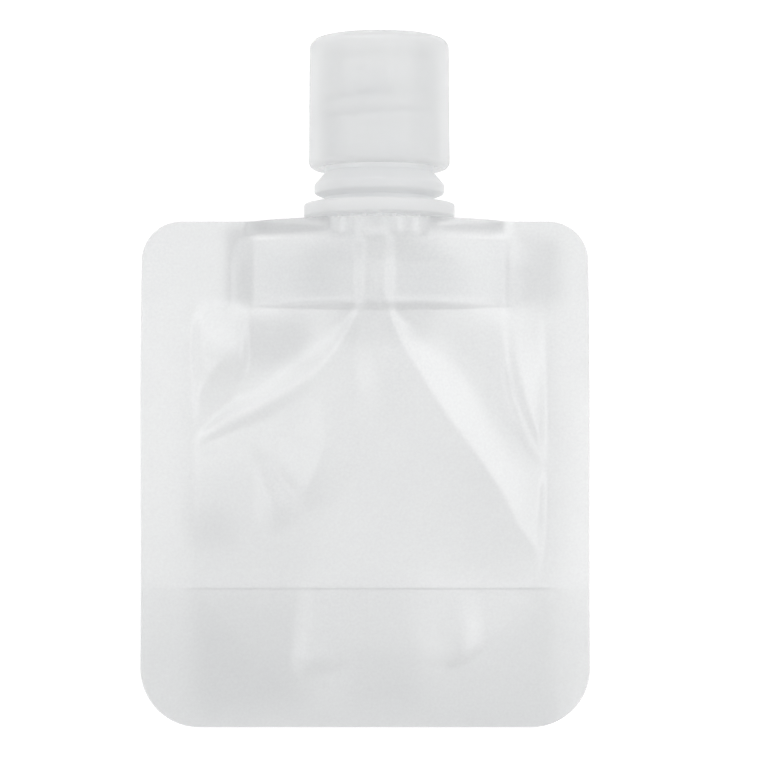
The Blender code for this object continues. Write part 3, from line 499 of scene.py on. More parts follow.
def film_grid(pitch):
    """Grid of x and y places that fills the pouch's outline."""
    rows = film_rows(POUCH_BOTTOM, POUCH_TOP, pitch)
    columns = round(BOTTOM_WIDTH / pitch)
    share = np.linspace(-1, 1, columns + 1)
    x = half_width(rows)[:, None] * share[None, :]
    y = np.repeat(rows[:, None], columns + 1, axis=1)
    return x, y


# %% Front film
FRONT_PITCH = 0.3
x, y = film_grid(FRONT_PITCH)
z = middle_height(y) + layer_offset(y) + resample(front_lift, GRID_PITCH, x, y) + FILM / 2
front = film_piece("front_sheet", x, y, z)
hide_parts("front_film")
print("front sheet:", len(front.data.vertices), "points")

# %% Back film
COARSE_PITCH = 0.6
BACK_SHARE = 0.85
x, y = film_grid(COARSE_PITCH)
z = middle_height(y) - layer_offset(y) - BACK_SHARE * resample(settled, GRID_PITCH, x, y) - FILM / 2
z = np.maximum(z, FILM / 2)
back = film_piece("back_sheet", x, y, z)
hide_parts("back_film")
print("back sheet:", len(back.data.vertices), "points, lowest at", round(float(z.min()), 2), "mm")

# %% Gusset film
GUSSET_COLUMNS = 110
FOLD_STEPS = 9
GUSSET_LEG = (GAP + FILM) / 2
fold_turn = FOLD_Y - GUSSET_LEG - FILM / 2
leg_rows = film_rows(POUCH_BOTTOM, fold_turn, COARSE_PITCH)
leg_z = np.full(len(leg_rows), GUSSET_LEG)
turn = np.linspace(0, math.pi, FOLD_STEPS)[1:-1]
path_y = np.concatenate([leg_rows, fold_turn + GUSSET_LEG * np.sin(turn), leg_rows[::-1]])
path_z = np.concatenate([leg_z, GUSSET_LEG * np.cos(turn), -leg_z])
across = np.linspace(-1, 1, GUSSET_COLUMNS)
x = half_width(path_y)[:, None] * across[None, :]
y = np.repeat(path_y[:, None], len(across), axis=1)
z = middle_height(y) + path_z[:, None]
gusset = film_piece("gusset_sheet", x, y, z)
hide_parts("gusset_film")
print("gusset sheet:", len(gusset.data.vertices), "points")

# %% [markdown]
# ## The spout
#
# The spout is one moulding of milky plastic: a boat-shaped base with ribs for the weld, a ribbed collar, a
# flange for the filling machine to grip, a bead, and a neck with a thread. Most of it is turned from a
# profile, because it is round about the bore.

# %% Turned shapes
TURN_STEPS = 128
SMALL_TURN_STEPS = 96
EDGE_STEPS = 6
ON_AXIS = 1e-6
THREAD_PITCH = 2.5
THREAD_STEPS = 72


def unit(vector):
    """The vector at a length of 1."""
    return vector / np.linalg.norm(vector)


def rounded(corners):
    """Points of a profile from corners of (radius, height, edge radius)."""
    spots = [np.array(corner[:2], float) for corner in corners]
    points = []
    for index, corner in enumerate(corners):
        spot = spots[index]
        if corner[2] == 0:
            points.append(spot)
            continue
        back_way = unit(spots[index - 1] - spot)
        ahead = unit(spots[index + 1] - spot)
        half = math.acos(float(back_way @ ahead)) / 2
        reach = corner[2] / math.tan(half)
        centre = spot + unit(back_way + ahead) * corner[2] / math.sin(half)
        first = spot + back_way * reach - centre
        last_way = spot + ahead * reach - centre
        bend = math.pi - 2 * half
        for share in np.linspace(0, 1, EDGE_STEPS + 1):
            way = math.sin((1 - share) * bend) * first + math.sin(share * bend) * last_way
            points.append(centre + way / math.sin(bend))
    return points


def on_axis(radius, angle, height):
    """Place in metres at a radius and angle about the spout's axis."""
    return ((SPOUT_X + radius * math.cos(angle)) * MM, height * MM, (AXIS_Z - radius * math.sin(angle)) * MM)


def solid(name, build):
    """A closed object from a mesh that the given function fills."""
    shape = bmesh.new()
    build(shape)
    bmesh.ops.recalc_face_normals(shape, faces=shape.faces)
    mesh = bpy.data.meshes.new(name)
    shape.to_mesh(mesh)
    shape.free()
    return new_object(name, mesh)


def turned(name, corners, steps=TURN_STEPS):
    """A turned solid from corners that run down its outer side."""

    def build(shape):
        rings = []
        for radius, height in rounded(corners):
            if radius < ON_AXIS:
                rings.append([shape.verts.new(on_axis(0, 0, height))])
                continue
            turns = [2 * math.pi * k / steps for k in range(steps)]
            rings.append([shape.verts.new(on_axis(radius, turn, height)) for turn in turns])
        for upper, lower in zip(rings, rings[1:]):
            for k in range(steps):
                n = (k + 1) % steps
                if len(upper) == 1:
                    shape.faces.new((upper[0], lower[k], lower[n]))
                elif len(lower) == 1:
                    shape.faces.new((upper[k], lower[0], upper[n]))
                else:
                    shape.faces.new((upper[k], lower[k], lower[n], upper[n]))

    return solid(name, build)


def join_rings(shape, rings):
    """Faces from each ring of points to the next, and one at either end."""
    for lower, upper in zip(rings, rings[1:]):
        for k in range(len(lower)):
            n = (k + 1) % len(lower)
            shape.faces.new((lower[k], lower[n], upper[n], upper[k]))
    shape.faces.new(rings[0])
    shape.faces.new(rings[-1])


# %% Screw ridges
RIDGE_ROOT = 0.2
RIDGE_FADE_STEPS = 12
END_CREST_SHARE = 0.1
SHOULDER_SHARE = 0.86
SHOULDER_WIDTH_SHARE = 0.62
CREST_WIDTH_SHARE = 0.3


def screw_ridge(name, wall, outward, height, widths, bottom, turns, start_angle):
    """A right-hand screw ridge rooted in a round wall, lower toward both of its ends."""
    steps = round(turns * THREAD_STEPS)
    root = wall - outward * RIDGE_ROOT
    root_half = widths[0] / 2
    shoulder_half = widths[1] * SHOULDER_WIDTH_SHARE
    crest_half = widths[1] * CREST_WIDTH_SHARE

    def build(shape):
        rings = []
        for step in range(steps + 1):
            fade = min(1, step / RIDGE_FADE_STEPS, (steps - step) / RIDGE_FADE_STEPS)
            proud = outward * (RIDGE_ROOT + height)
            crest = root + proud * (END_CREST_SHARE + (1 - END_CREST_SHARE) * fade)
            shoulder = root + (crest - root) * SHOULDER_SHARE
            level = bottom + THREAD_PITCH * turns * step / steps
            angle = start_angle + 2 * math.pi * level / THREAD_PITCH
            section = ((root, -root_half), (shoulder, -shoulder_half), (crest, -crest_half),
                       (crest, crest_half), (shoulder, shoulder_half), (root, root_half))
            rings.append([shape.verts.new(on_axis(radius, angle, level + rise)) for radius, rise in section])
        join_rings(shape, rings)

    return solid(name, build)


# %% Joined and finished pieces
SHARP_ANGLE = math.radians(38)


def join(piece, other, operation):
    """Join another object to the piece, or cut it from the piece, for good."""
    boolean = piece.modifiers.new("join", "BOOLEAN")
    boolean.operation = operation
    boolean.solver = "EXACT"
    boolean.object = other
    bpy.context.view_layer.update()
    evaluated = piece.evaluated_get(bpy.context.evaluated_depsgraph_get())
    piece.data = bpy.data.meshes.new_from_object(evaluated)
    piece.modifiers.clear()
    bpy.data.objects.remove(other, do_unlink=True)


def finish_piece(piece, body, node):
    """Smooth the piece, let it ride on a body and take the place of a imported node."""
    piece.data.shade_smooth()
    piece.data.set_sharp_from_angle(angle=SHARP_ANGLE)
    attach(piece, body)
    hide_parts(node)
    print(piece.name + ":", len(piece.data.vertices), "points")


# %% Weld base
BOAT_STEPS = 60
BOAT_EDGE = 0.15
WELD_RIBS = 6
RIB_PROUD = 0.04
RIB_HALF_WIDTH = 0.3
RIB_FOOT = 0.06
RIB_SHOULDER = 0.08
RIB_SHOULDER_PROUD = RIB_PROUD * 0.8
RIB_CREST_HALF = 0.1


def boat_outline(grow):
    """Outline of the weld base, two arcs with blunt tips, grown by an amount."""
    share = np.linspace(-1, 1, BOAT_STEPS + 1)
    height = np.maximum(lens_height(share * BOAT_HALF_LENGTH), BOAT_TIP) + grow
    across = share * (BOAT_HALF_LENGTH + grow)
    return np.concatenate([np.stack([across, height], 1), np.stack([across, -height], 1)[::-1]])


def build_boat(shape):
    """Fill a mesh with the weld base, a stack of outlines with a rib at each step."""
    levels = [(BOAT_BOTTOM, -BOAT_EDGE), (BOAT_BOTTOM + BOAT_EDGE, 0)]
    for rib in range(WELD_RIBS):
        middle = BOAT_BOTTOM + FIRST_RIB + rib * RIB_PITCH
        low, high = middle - RIB_HALF_WIDTH, middle + RIB_HALF_WIDTH
        levels += [(low - RIB_FOOT, 0), (low + RIB_SHOULDER, RIB_SHOULDER_PROUD),
                   (middle - RIB_CREST_HALF, RIB_PROUD), (middle + RIB_CREST_HALF, RIB_PROUD),
                   (high - RIB_SHOULDER, RIB_SHOULDER_PROUD), (high + RIB_FOOT, 0)]
    levels += [(BOAT_TOP - BOAT_EDGE, 0), (BOAT_TOP, -BOAT_EDGE)]
    rings = []
    for height, grow in levels:
        outline = [((SPOUT_X + a) * MM, height * MM, (AXIS_Z + b) * MM) for a, b in boat_outline(grow)]
        rings.append([shape.verts.new(place) for place in outline])
    join_rings(shape, rings)


boat = solid("weld_base", build_boat)
print("weld base:", len(boat.data.vertices), "points")

# %% Spout body
FLANGE_BOTTOM = POUCH_TOP + 0.5
FLANGE_TOP = FLANGE_BOTTOM + 2
COLLAR_RADIUS = 7.4
FLANGE_RADIUS = 10.8
NECK_RADIUS = 7.8
BEAD_RADIUS = 9.3
BEAD_LOW = FLANGE_TOP + 0.9
NOSE_LOW = BEAD_LOW + 0.6
NOSE_HIGH = NOSE_LOW + 1.25
BEAD_TOP = NOSE_HIGH + 1.75
NECK_TOP = BEAD_TOP + 1.1
THREAD_FOOT = BEAD_TOP + 1.7
THREADED_RADIUS = 7.2
RIM = 44.75
CORE_RADIUS = 5.4
CORE_LOW = BOAT_BOTTOM + 1
CORE_HIGH = BOAT_TOP - 1
spout = turned("spout_moulding", [
    (0, RIM, 0), (THREADED_RADIUS, RIM, 0.5), (THREADED_RADIUS, THREAD_FOOT, 0.3),
    (NECK_RADIUS, NECK_TOP, 0.3), (NECK_RADIUS, BEAD_TOP, 0.25), (BEAD_RADIUS, NOSE_HIGH, 0.5),
    (BEAD_RADIUS, NOSE_LOW, 0.5), (NECK_RADIUS, BEAD_LOW, 0.2), (NECK_RADIUS, FLANGE_TOP, 0.25),
    (FLANGE_RADIUS, FLANGE_TOP, 0.35), (FLANGE_RADIUS, FLANGE_BOTTOM, 0.35),
    (COLLAR_RADIUS, FLANGE_BOTTOM, 0.15), (COLLAR_RADIUS, COLLAR_BOTTOM, 0.3), (CORE_RADIUS, CORE_HIGH, 0),
    (CORE_RADIUS, CORE_LOW, 0), (0, CORE_LOW, 0)])
join(spout, boat, "UNION")

# %% Collar ribs
COLLAR_RIBS = 22
COLLAR_RIB_STEPS = 16
COLLAR_RIB_INSET = 0.05
COLLAR_RIB_RADIUS = 0.42
COLLAR_RIB_FOOT = 0.3
COLLAR_RIB_LEVELS = (
    (COLLAR_BOTTOM + 0.02, COLLAR_RIB_FOOT),
    (COLLAR_BOTTOM + 0.2, COLLAR_RIB_RADIUS),
    (FLANGE_BOTTOM + 0.3, COLLAR_RIB_RADIUS),
)


def build_collar_ribs(shape):
    """Fill a mesh with the small upright ribs around the collar."""
    for rib in range(COLLAR_RIBS):
        angle = 2 * math.pi * (rib + 0.5) / COLLAR_RIBS
        rings = []
        for height, radius in COLLAR_RIB_LEVELS:
            ring = []
            for step in range(COLLAR_RIB_STEPS):
                bend = 2 * math.pi * step / COLLAR_RIB_STEPS
                out = COLLAR_RADIUS - COLLAR_RIB_INSET + radius * math.cos(bend)
                side_way = radius * math.sin(bend)
                place = (SPOUT_X + out * math.cos(angle) - side_way * math.sin(angle), height,
                         AXIS_Z - out * math.sin(angle) - side_way * math.cos(angle))
                ring.append(shape.verts.new([v * MM for v in place]))
            rings.append(ring)
        join_rings(shape, rings)


join(spout, solid("collar_ribs", build_collar_ribs), "UNION")
print(COLLAR_RIBS, "collar ribs")

# %% Neck thread and bore
NECK_TURNS = 2.9
NECK_RIDGE = 0.8
NECK_RIDGE_WIDTHS = (1.2, 0.5)
THREAD_TOP = RIM - 1.7
neck_thread_low = THREAD_TOP - NECK_TURNS * THREAD_PITCH
neck_thread = screw_ridge(
    "neck_thread", THREADED_RADIUS, 1, NECK_RIDGE, NECK_RIDGE_WIDTHS, neck_thread_low, NECK_TURNS, 0)
join(spout, neck_thread, "UNION")

BORE = 4.8
BORE_FLARE = 1.4
FLARE_DEPTH = 0.4
CUT_PAST = 1
bore = turned("bore", [
    (0, RIM + CUT_PAST, 0), (BORE + BORE_FLARE, RIM + CUT_PAST, 0), (BORE, RIM - FLARE_DEPTH, 0.3),
    (BORE, BOAT_BOTTOM + FLARE_DEPTH, 0), (BORE + BORE_FLARE, BOAT_BOTTOM - CUT_PAST, 0),
    (0, BOAT_BOTTOM - CUT_PAST, 0)], SMALL_TURN_STEPS)
join(spout, bore, "DIFFERENCE")
finish_piece(spout, "pouch", "spout")

# %% [markdown]
# ## The cap and its liner
#
# The cap is a plain round cup of milky plastic with an inside thread. A white liner sits under its top: a
# disc with a hollow plug that goes into the bore. It shows through the cap a little.

# %% Cap
CAP_BOTTOM = 30.65
CAP_TOP = 49.45
CEILING = CAP_TOP - 1.3
CAP_TOP_RADIUS = 9.98
CAP_LOW_RADIUS = 10.1
CAP_INNER = 8.6
LEAD_IN = 0.4
LINER_GAP = 0.28
DISC_THICKNESS = 0.9
DISC_ROOM = 8.18
RING_INNER = 7.6
RING_THICKNESS = 0.5
RING_RAMP = 0.9
DISC_HIGH = CEILING - LINER_GAP
DISC_LOW = DISC_HIGH - DISC_THICKNESS
RING_HIGH = DISC_LOW - LINER_GAP
RING_LOW = RING_HIGH - RING_THICKNESS
cap = turned("cap_moulding", [
    (0, CAP_TOP, 0), (CAP_TOP_RADIUS, CAP_TOP, 1.5), (CAP_LOW_RADIUS, CAP_BOTTOM, 1.1),
    (CAP_INNER + LEAD_IN, CAP_BOTTOM, 0), (CAP_INNER, CAP_BOTTOM + LEAD_IN, 0),
    (CAP_INNER, RING_LOW - RING_RAMP, 0.2), (RING_INNER, RING_LOW, 0.15), (RING_INNER, RING_HIGH, 0.1),
    (DISC_ROOM, RING_HIGH, 0.1), (DISC_ROOM, CEILING, 0.25), (0, CEILING, 0)])

CAP_TURNS = 1.8
CAP_RIDGE = 0.95
CAP_RIDGE_WIDTHS = (1.1, 0.45)
CAP_THREAD_DROP = 0.75
cap_thread_low = THREAD_TOP - CAP_THREAD_DROP * THREAD_PITCH - CAP_TURNS * THREAD_PITCH
cap_thread = screw_ridge(
    "cap_thread", CAP_INNER, -1, CAP_RIDGE, CAP_RIDGE_WIDTHS, cap_thread_low, CAP_TURNS, math.pi)
join(cap, cap_thread, "UNION")
finish_piece(cap, "cap", "cap")

# %% Liner
DISC_RADIUS = 7.9
PLUG_ROOT = 5.2
PLUG_RADIUS = 4.55
PLUG_TIP = 4.1
PLUG_INNER = 3.65
PLUG_SHOULDER = RIM + 0.3
PLUG_LOW = RIM - 3.4
PLUG_TAPER = 0.8
liner = turned("liner_moulding", [
    (0, DISC_HIGH, 0), (DISC_RADIUS, DISC_HIGH, 0.2), (DISC_RADIUS, DISC_LOW, 0.2),
    (PLUG_ROOT, DISC_LOW, 0.2), (PLUG_ROOT, PLUG_SHOULDER, 0.15), (PLUG_RADIUS, PLUG_SHOULDER, 0.1),
    (PLUG_RADIUS, PLUG_LOW + PLUG_TAPER, 0.3), (PLUG_TIP, PLUG_LOW, 0.2),
    (PLUG_INNER, PLUG_LOW, 0.15), (PLUG_INNER, DISC_LOW, 0.2), (0, DISC_LOW, 0)], SMALL_TURN_STEPS)
finish_piece(liner, "liner", "plug_liner")

# %% [markdown]
# ## Materials
#
# Nodes work out every finish from the object's own coordinates, so it stays in place from any side. Five
# groups are shared: the fine grain of a frosted surface, the slow cloudiness of milky plastic, the places
# where the films are welded together, boxes of painted shade where the film is darkened, and boxes where the
# film is made more see-through.

# %% Node helpers
def set_inputs(tree, node, inputs):
    """Set a node's inputs to values, or link them to outputs."""
    for key, value in inputs.items():
        if isinstance(value, bpy.types.NodeSocket):
            tree.links.new(value, node.inputs[key])
        else:
            node.inputs[key].default_value = value


def add_node(tree, kind, inputs, **settings):
    """A new node with its settings made and its inputs set or linked."""
    made = tree.nodes.new(kind)
    for name, value in settings.items():
        setattr(made, name, value)
    set_inputs(tree, made, inputs)
    return made


def math_node(tree, operation, first, second=0, third=0):
    """Output of a math node."""
    return add_node(tree, "ShaderNodeMath", {0: first, 1: second, 2: third}, operation=operation).outputs[0]


def times(tree, first, second):
    """Output of a product."""
    return math_node(tree, "MULTIPLY", first, second)


def times_plus(tree, first, second, third):
    """Output of a product with a third value added."""
    return math_node(tree, "MULTIPLY_ADD", first, second, third)


def map_range(tree, value, low, high, to_low=0, to_high=1):
    """Output of a smooth map from one range to another."""
    sockets = {"Value": value, "From Min": low, "From Max": high, "To Min": to_low, "To Max": to_high}
    return add_node(tree, "ShaderNodeMapRange", sockets, interpolation_type="SMOOTHSTEP").outputs["Result"]


def fade(tree, value, low, high, *to_range):
    """Output of a smooth map from places in millimetres."""
    return map_range(tree, value, low * MM, high * MM, *to_range)


def split_place(tree, ends):
    """X and Y of the place that a group is given."""
    place = add_node(tree, "ShaderNodeSeparateXYZ", {"Vector": ends.outputs["Vector"]}).outputs
    return place["X"], place["Y"]


def new_group(name, inputs, outputs):
    """A node group and its two end nodes. Its sockets are floats, but for the one named Vector."""
    group = bpy.data.node_groups.new(name, "ShaderNodeTree")
    for side, sockets in (("INPUT", inputs), ("OUTPUT", outputs)):
        for socket in sockets:
            kind = "NodeSocketVector" if socket == "Vector" else "NodeSocketFloat"
            group.interface.new_socket(socket, in_out=side, socket_type=kind)
    return group, group.nodes.new("NodeGroupInput"), group.nodes.new("NodeGroupOutput")


# %% Grain and cloudiness groups
CLOUD_RANGE = (0.3, 0.7)
SPECK_RANGE = (0.16, 0.06)
SPECKS_PER_CLOUD = 9

grain_group, ends, out = new_group("fine_grain", ["Vector", "Scale"], ["Height"])
sockets = {"Vector": ends.outputs["Vector"], "Scale": ends.outputs["Scale"], "Detail": 1}
fine = add_node(grain_group, "ShaderNodeTexNoise", sockets)
grain_group.links.new(fine.outputs["Fac"], out.inputs["Height"])

cloud_group, ends, out = new_group("cloudiness", ["Vector", "Scale"], ["Cloud", "Speck"])
sockets = {"Vector": ends.outputs["Vector"], "Scale": ends.outputs["Scale"], "Detail": 2, "Roughness": 0.55}
slow = add_node(cloud_group, "ShaderNodeTexNoise", sockets)
speck_scale = times(cloud_group, ends.outputs["Scale"], SPECKS_PER_CLOUD)
sockets = {"Vector": ends.outputs["Vector"], "Scale": speck_scale}
specks = add_node(cloud_group, "ShaderNodeTexVoronoi", sockets)
cloud_group.links.new(map_range(cloud_group, slow.outputs["Fac"], *CLOUD_RANGE), out.inputs["Cloud"])
cloud_group.links.new(map_range(cloud_group, specks.outputs["Distance"], *SPECK_RANGE), out.inputs["Speck"])
print("groups:", grain_group.name, cloud_group.name)

# %% Welded places group
# A fade is where it starts, where it ends and, if not 0 and 1, the values there. Places are in millimetres.
LEFT_SEAL_FADE = (CHAMBER_LEFT + 3, CHAMBER_LEFT - 4)
RIGHT_SEAL_FADE = (CHAMBER_RIGHT - 1, CHAMBER_RIGHT + 3)
LEFT_CLEAR_FADE = (FOLD_Y - 8, FOLD_Y + 20)
RIGHT_CLEAR_FADE = (FOLD_Y - 6, FOLD_Y + 5, 0.75, 1.08)
TOP_FADE = (21, 2, 0.15, 1)
ARC_FADE = (-4, 4)
FOLD_FADE = (0.45, 0.1)

weld_group, ends, out = new_group("welded_places", ["Vector"], ["Side", "Bottom", "Fold"])
tree = weld_group
px, py = split_place(tree, ends)
left_side = fade(tree, px, *LEFT_SEAL_FADE)
right_side = fade(tree, px, *RIGHT_SEAL_FADE)
left_clear = fade(tree, py, *LEFT_CLEAR_FADE)
right_clear = fade(tree, py, *RIGHT_CLEAR_FADE)
below_top = fade(tree, py, *TOP_FADE)
left_share = times(tree, left_side, left_clear)
clear = times_plus(tree, right_side, right_clear, left_share)
tree.links.new(times(tree, clear, below_top), out.inputs["Side"])

from_middle = math_node(tree, "SUBTRACT", px, CHAMBER_MIDDLE * MM)
off_centre = math_node(tree, "DIVIDE", from_middle, CHAMBER_HALF * MM)
bend = math_node(tree, "SUBTRACT", 1, times(tree, off_centre, off_centre))
arc_depth = times(tree, bend, ARC_DEPTH * MM)
depth = math_node(tree, "MAXIMUM", arc_depth, ARC_END_DEPTH * MM)
below_arc = math_node(tree, "SUBTRACT", math_node(tree, "SUBTRACT", FOLD_Y * MM, depth), py)
inside = math_node(tree, "SUBTRACT", 1, math_node(tree, "ADD", left_side, right_side))
bottom = times(tree, fade(tree, below_arc, *ARC_FADE), inside)
tree.links.new(bottom, out.inputs["Bottom"])

fold_distance = math_node(tree, "ABSOLUTE", math_node(tree, "SUBTRACT", py, FOLD_Y * MM))
fold_line = fade(tree, fold_distance, *FOLD_FADE)
tree.links.new(times(tree, fold_line, inside), out.inputs["Fold"])
print("group:", weld_group.name)

# %% Painted shade group
# Painted shade: each is a box with soft edges where the film's colour is darkened to stand for shade: left,
# right, low and high in millimetres, and its strength.
PAINTED_SHADE_PLACES = [
    (-19.9, -16.2, 11.5, 22.4, 0.7),
    (21.6, 28, 11.2, 20.6, 0.5),
    (-25.5, -19, -23.5, -17.5, 0.25),
    (-25, -9, -47, -30, 0.2),
    (-2, 8, -46.5, -38.5, 0.15),
    (-17, -5, 21.3, 23.3, 1.8),
    (9, 20, 21.5, 23.3, 0.8),
    (-3.5, 9.5, 5.5, 10.5, 0.3),
    (-12, -2.5, 5.5, 10.8, 0.2),
    (-16, -4, 11.2, 20.6, 0.15),
    (-25.5, -7, -29, -13, 0.14),
    (-18.3, -8, 2.5, 9.5, 0.45),
]
EDGE_SHARE = 0.3
WIDEST_EDGE = 2.5
LOW_FADE = (-27, -46, 0, 0.22)


def soft_box(tree, px, py, left, right, low, high, edge):
    """Mask of a rectangle with soft edges."""
    across = times(tree, fade(tree, px, left - edge, left + edge), fade(tree, px, right + edge, right - edge))
    upward = times(tree, fade(tree, py, low - edge, low + edge), fade(tree, py, high + edge, high - edge))
    return times(tree, across, upward)


painted_shade_group, ends, out = new_group("painted_shade", ["Vector"], ["Grey"])
px, py = split_place(painted_shade_group, ends)
shade_sum = 0
for left, right, low, high, strength in PAINTED_SHADE_PLACES:
    edge = min(right - left, high - low) * EDGE_SHARE
    mask = soft_box(painted_shade_group, px, py, left, right, low, high, min(edge, WIDEST_EDGE))
    shade_sum = times_plus(painted_shade_group, mask, strength, shade_sum)
# The painted shade also grows towards the bottom of the pouch.
low_down = fade(painted_shade_group, py, *LOW_FADE)
painted_shade_group.links.new(math_node(painted_shade_group, "ADD", shade_sum, low_down), out.inputs["Grey"])
print("group:", painted_shade_group.name)

# %% Clear places group
# Each is a box with soft edges: left, right, low and high, its strength and how soft its edges are.
CLEAR_PLACES = [
    (7, 27, -44, -27, 1.6, 4),
    (16, 28, -46, -29.5, 0.8, 2.5),
    (30, 37, -52, -1, 1, 1.5),
    (-9, 13, -27, 3, 0.5, 4),
]
clear_group, ends, out = new_group("clear_places", ["Vector"], ["Clear"])
px, py = split_place(clear_group, ends)
clearness = 0
for left, right, low, high, strength, edge in CLEAR_PLACES:
    mask = soft_box(clear_group, px, py, left, right, low, high, edge)
    clearness = times_plus(clear_group, mask, strength, clearness)
clear_group.links.new(clearness, out.inputs["Clear"])
print("group:", clear_group.name)

# %% Helpers of the materials
def new_material(name, specular=0.5):
    """A material, its tree, its shader and its object coordinates."""
    material = bpy.data.materials.new(name)
    material.use_nodes = True
    tree = material.node_tree
    shader = tree.nodes["Principled BSDF"]
    shader.inputs["Specular IOR Level"].default_value = specular
    return material, tree, shader, tree.nodes.new("ShaderNodeTexCoord").outputs["Object"]


def use_group(tree, group, inputs):
    """Outputs of a node that uses a group."""
    return add_node(tree, "ShaderNodeGroup", inputs, node_tree=group).outputs


def mix_colours(tree, share, first, second):
    """Output of a mix of two colours."""
    made = add_node(tree, "ShaderNodeMix", {"Factor": share, "A": first, "B": second}, data_type="RGBA")
    return made.outputs["Result"]


def let_light_through(tree, alpha, share):
    """The alpha, lowered for rays that carry light, because frosted film passes light on."""
    path = tree.nodes.new("ShaderNodeLightPath")
    light = math_node(tree, "MAXIMUM", path.outputs["Is Shadow Ray"], path.outputs["Is Diffuse Ray"])
    passed = times_plus(tree, light, -share, 1)
    return times(tree, alpha, passed)


GRAIN_DEPTH = 0.00003


def tilt(tree, height, strength):
    """Normal of a surface that a fine height field tilts a little."""
    sockets = {"Strength": strength, "Distance": GRAIN_DEPTH, "Height": height}
    return add_node(tree, "ShaderNodeBump", sockets).outputs["Normal"]


# %% Frosted film
FILM_LIGHT = (0.84, 0.85, 0.855, 1)
FILM_DARK = (0.825, 0.835, 0.843, 1)
FILM_PAINTED_SHADE = (0.62, 0.63, 0.64, 1)
FOLD_PAINTED_SHADE = (0.52, 0.53, 0.54, 1)
FILM_IOR = 2.1
FILM_GRAIN_SCALE = 2600
FILM_CLOUD_SCALE = 170
FILM_ROUGHNESS = 0.32
FILM_ROUGHER = 0.04
FILM_GRAIN_HAZE = 0.05
FILM_BUMP = 0.25
FILM_PASSES_LIGHT = 0.85
PAINTED_SHADE_HAZE = 0.08


def film_material(name, alpha, side, clear, bottom, fold=0):
    """Frosted film with a base alpha and what its kinds of places add to that."""
    material, tree, shader, coords = new_material(name)
    grain = use_group(tree, grain_group, {"Vector": coords, "Scale": FILM_GRAIN_SCALE})
    cloud = use_group(tree, cloud_group, {"Vector": coords, "Scale": FILM_CLOUD_SCALE})
    weld = use_group(tree, weld_group, {"Vector": coords})
    shade_outputs = use_group(tree, painted_shade_group, {"Vector": coords})
    milky = mix_colours(tree, cloud["Cloud"], FILM_LIGHT, FILM_DARK)
    # Painted shade: the film's colour is mixed toward a darker grey in the painted shade boxes, and its alpha
    # rises there.
    shaded_colour = mix_colours(tree, shade_outputs["Grey"], milky, FILM_PAINTED_SHADE)
    rough = times_plus(tree, cloud["Cloud"], FILM_ROUGHER, FILM_ROUGHNESS)
    total = times_plus(tree, weld["Side"], side, alpha)
    total = times_plus(tree, weld["Bottom"], bottom, total)
    total = times_plus(tree, shade_outputs["Grey"], PAINTED_SHADE_HAZE, total)
    if clear:
        thin = use_group(tree, clear_group, {"Vector": coords})
        total = times_plus(tree, thin["Clear"], clear, total)
    if fold:
        total = times_plus(tree, weld["Fold"], fold, total)
        # Painted shade along the gusset's fold: the colour there is mixed toward a dark grey.
        shaded_colour = mix_colours(tree, weld["Fold"], shaded_colour, FOLD_PAINTED_SHADE)
    uneven = times_plus(tree, grain["Height"], FILM_GRAIN_HAZE, total)
    alpha = let_light_through(tree, uneven, FILM_PASSES_LIGHT)
    normal = tilt(tree, grain["Height"], FILM_BUMP)
    set_inputs(tree, shader, {
        "IOR": FILM_IOR, "Base Color": shaded_colour, "Roughness": rough, "Alpha": alpha, "Normal": normal})
    return material


front.data.materials.append(film_material("frosted_front_film", alpha=0.34, side=-0.03, clear=0, bottom=0))
back.data.materials.append(film_material("frosted_back_film", alpha=0.26, side=-0.14, clear=-0.1, bottom=0.02))
gusset.data.materials.append(
    film_material("frosted_gusset_film", alpha=0.06, side=-0.05, clear=0, bottom=0.12, fold=0.32))
print("film materials:", [piece.data.materials[0].name for piece in (front, back, gusset)])


# %% Milky mouldings
MILKINESS = 0.8
MILKY_RADIUS = (1, 1, 1)
MILKY_DEPTH = 0.005
MOULDED_GRAIN_SCALE = 1500
MOULDED_CLOUD_SCALE = 160
MOULDED_ROUGHER = 0.07
SPECK_ROUGHER = 0.05
MOULDED_CLOUD_HAZE = 0.03
MOULDED_BUMP = 0.15
MOULDED_PASSES_LIGHT = 0.93


def moulded_material(name, light, dark, alpha, roughness):
    """Milky moulded plastic with slow flow lines, fine specks and a soft polish."""
    material, tree, shader, coords = new_material(name)
    grain = use_group(tree, grain_group, {"Vector": coords, "Scale": MOULDED_GRAIN_SCALE})
    cloud = use_group(tree, cloud_group, {"Vector": coords, "Scale": MOULDED_CLOUD_SCALE})
    colour = mix_colours(tree, cloud["Cloud"], light, dark)
    worn = times_plus(tree, cloud["Cloud"], MOULDED_ROUGHER, roughness)
    worn = times_plus(tree, cloud["Speck"], SPECK_ROUGHER, worn)
    uneven = times_plus(tree, cloud["Cloud"], MOULDED_CLOUD_HAZE, alpha)
    alpha = let_light_through(tree, uneven, MOULDED_PASSES_LIGHT)
    normal = tilt(tree, grain["Height"], MOULDED_BUMP)
    set_inputs(tree, shader, {
        "Base Color": colour, "Roughness": worn, "Alpha": alpha, "Normal": normal,
        "Subsurface Weight": MILKINESS, "Subsurface Radius": MILKY_RADIUS, "Subsurface Scale": MILKY_DEPTH})
    return material


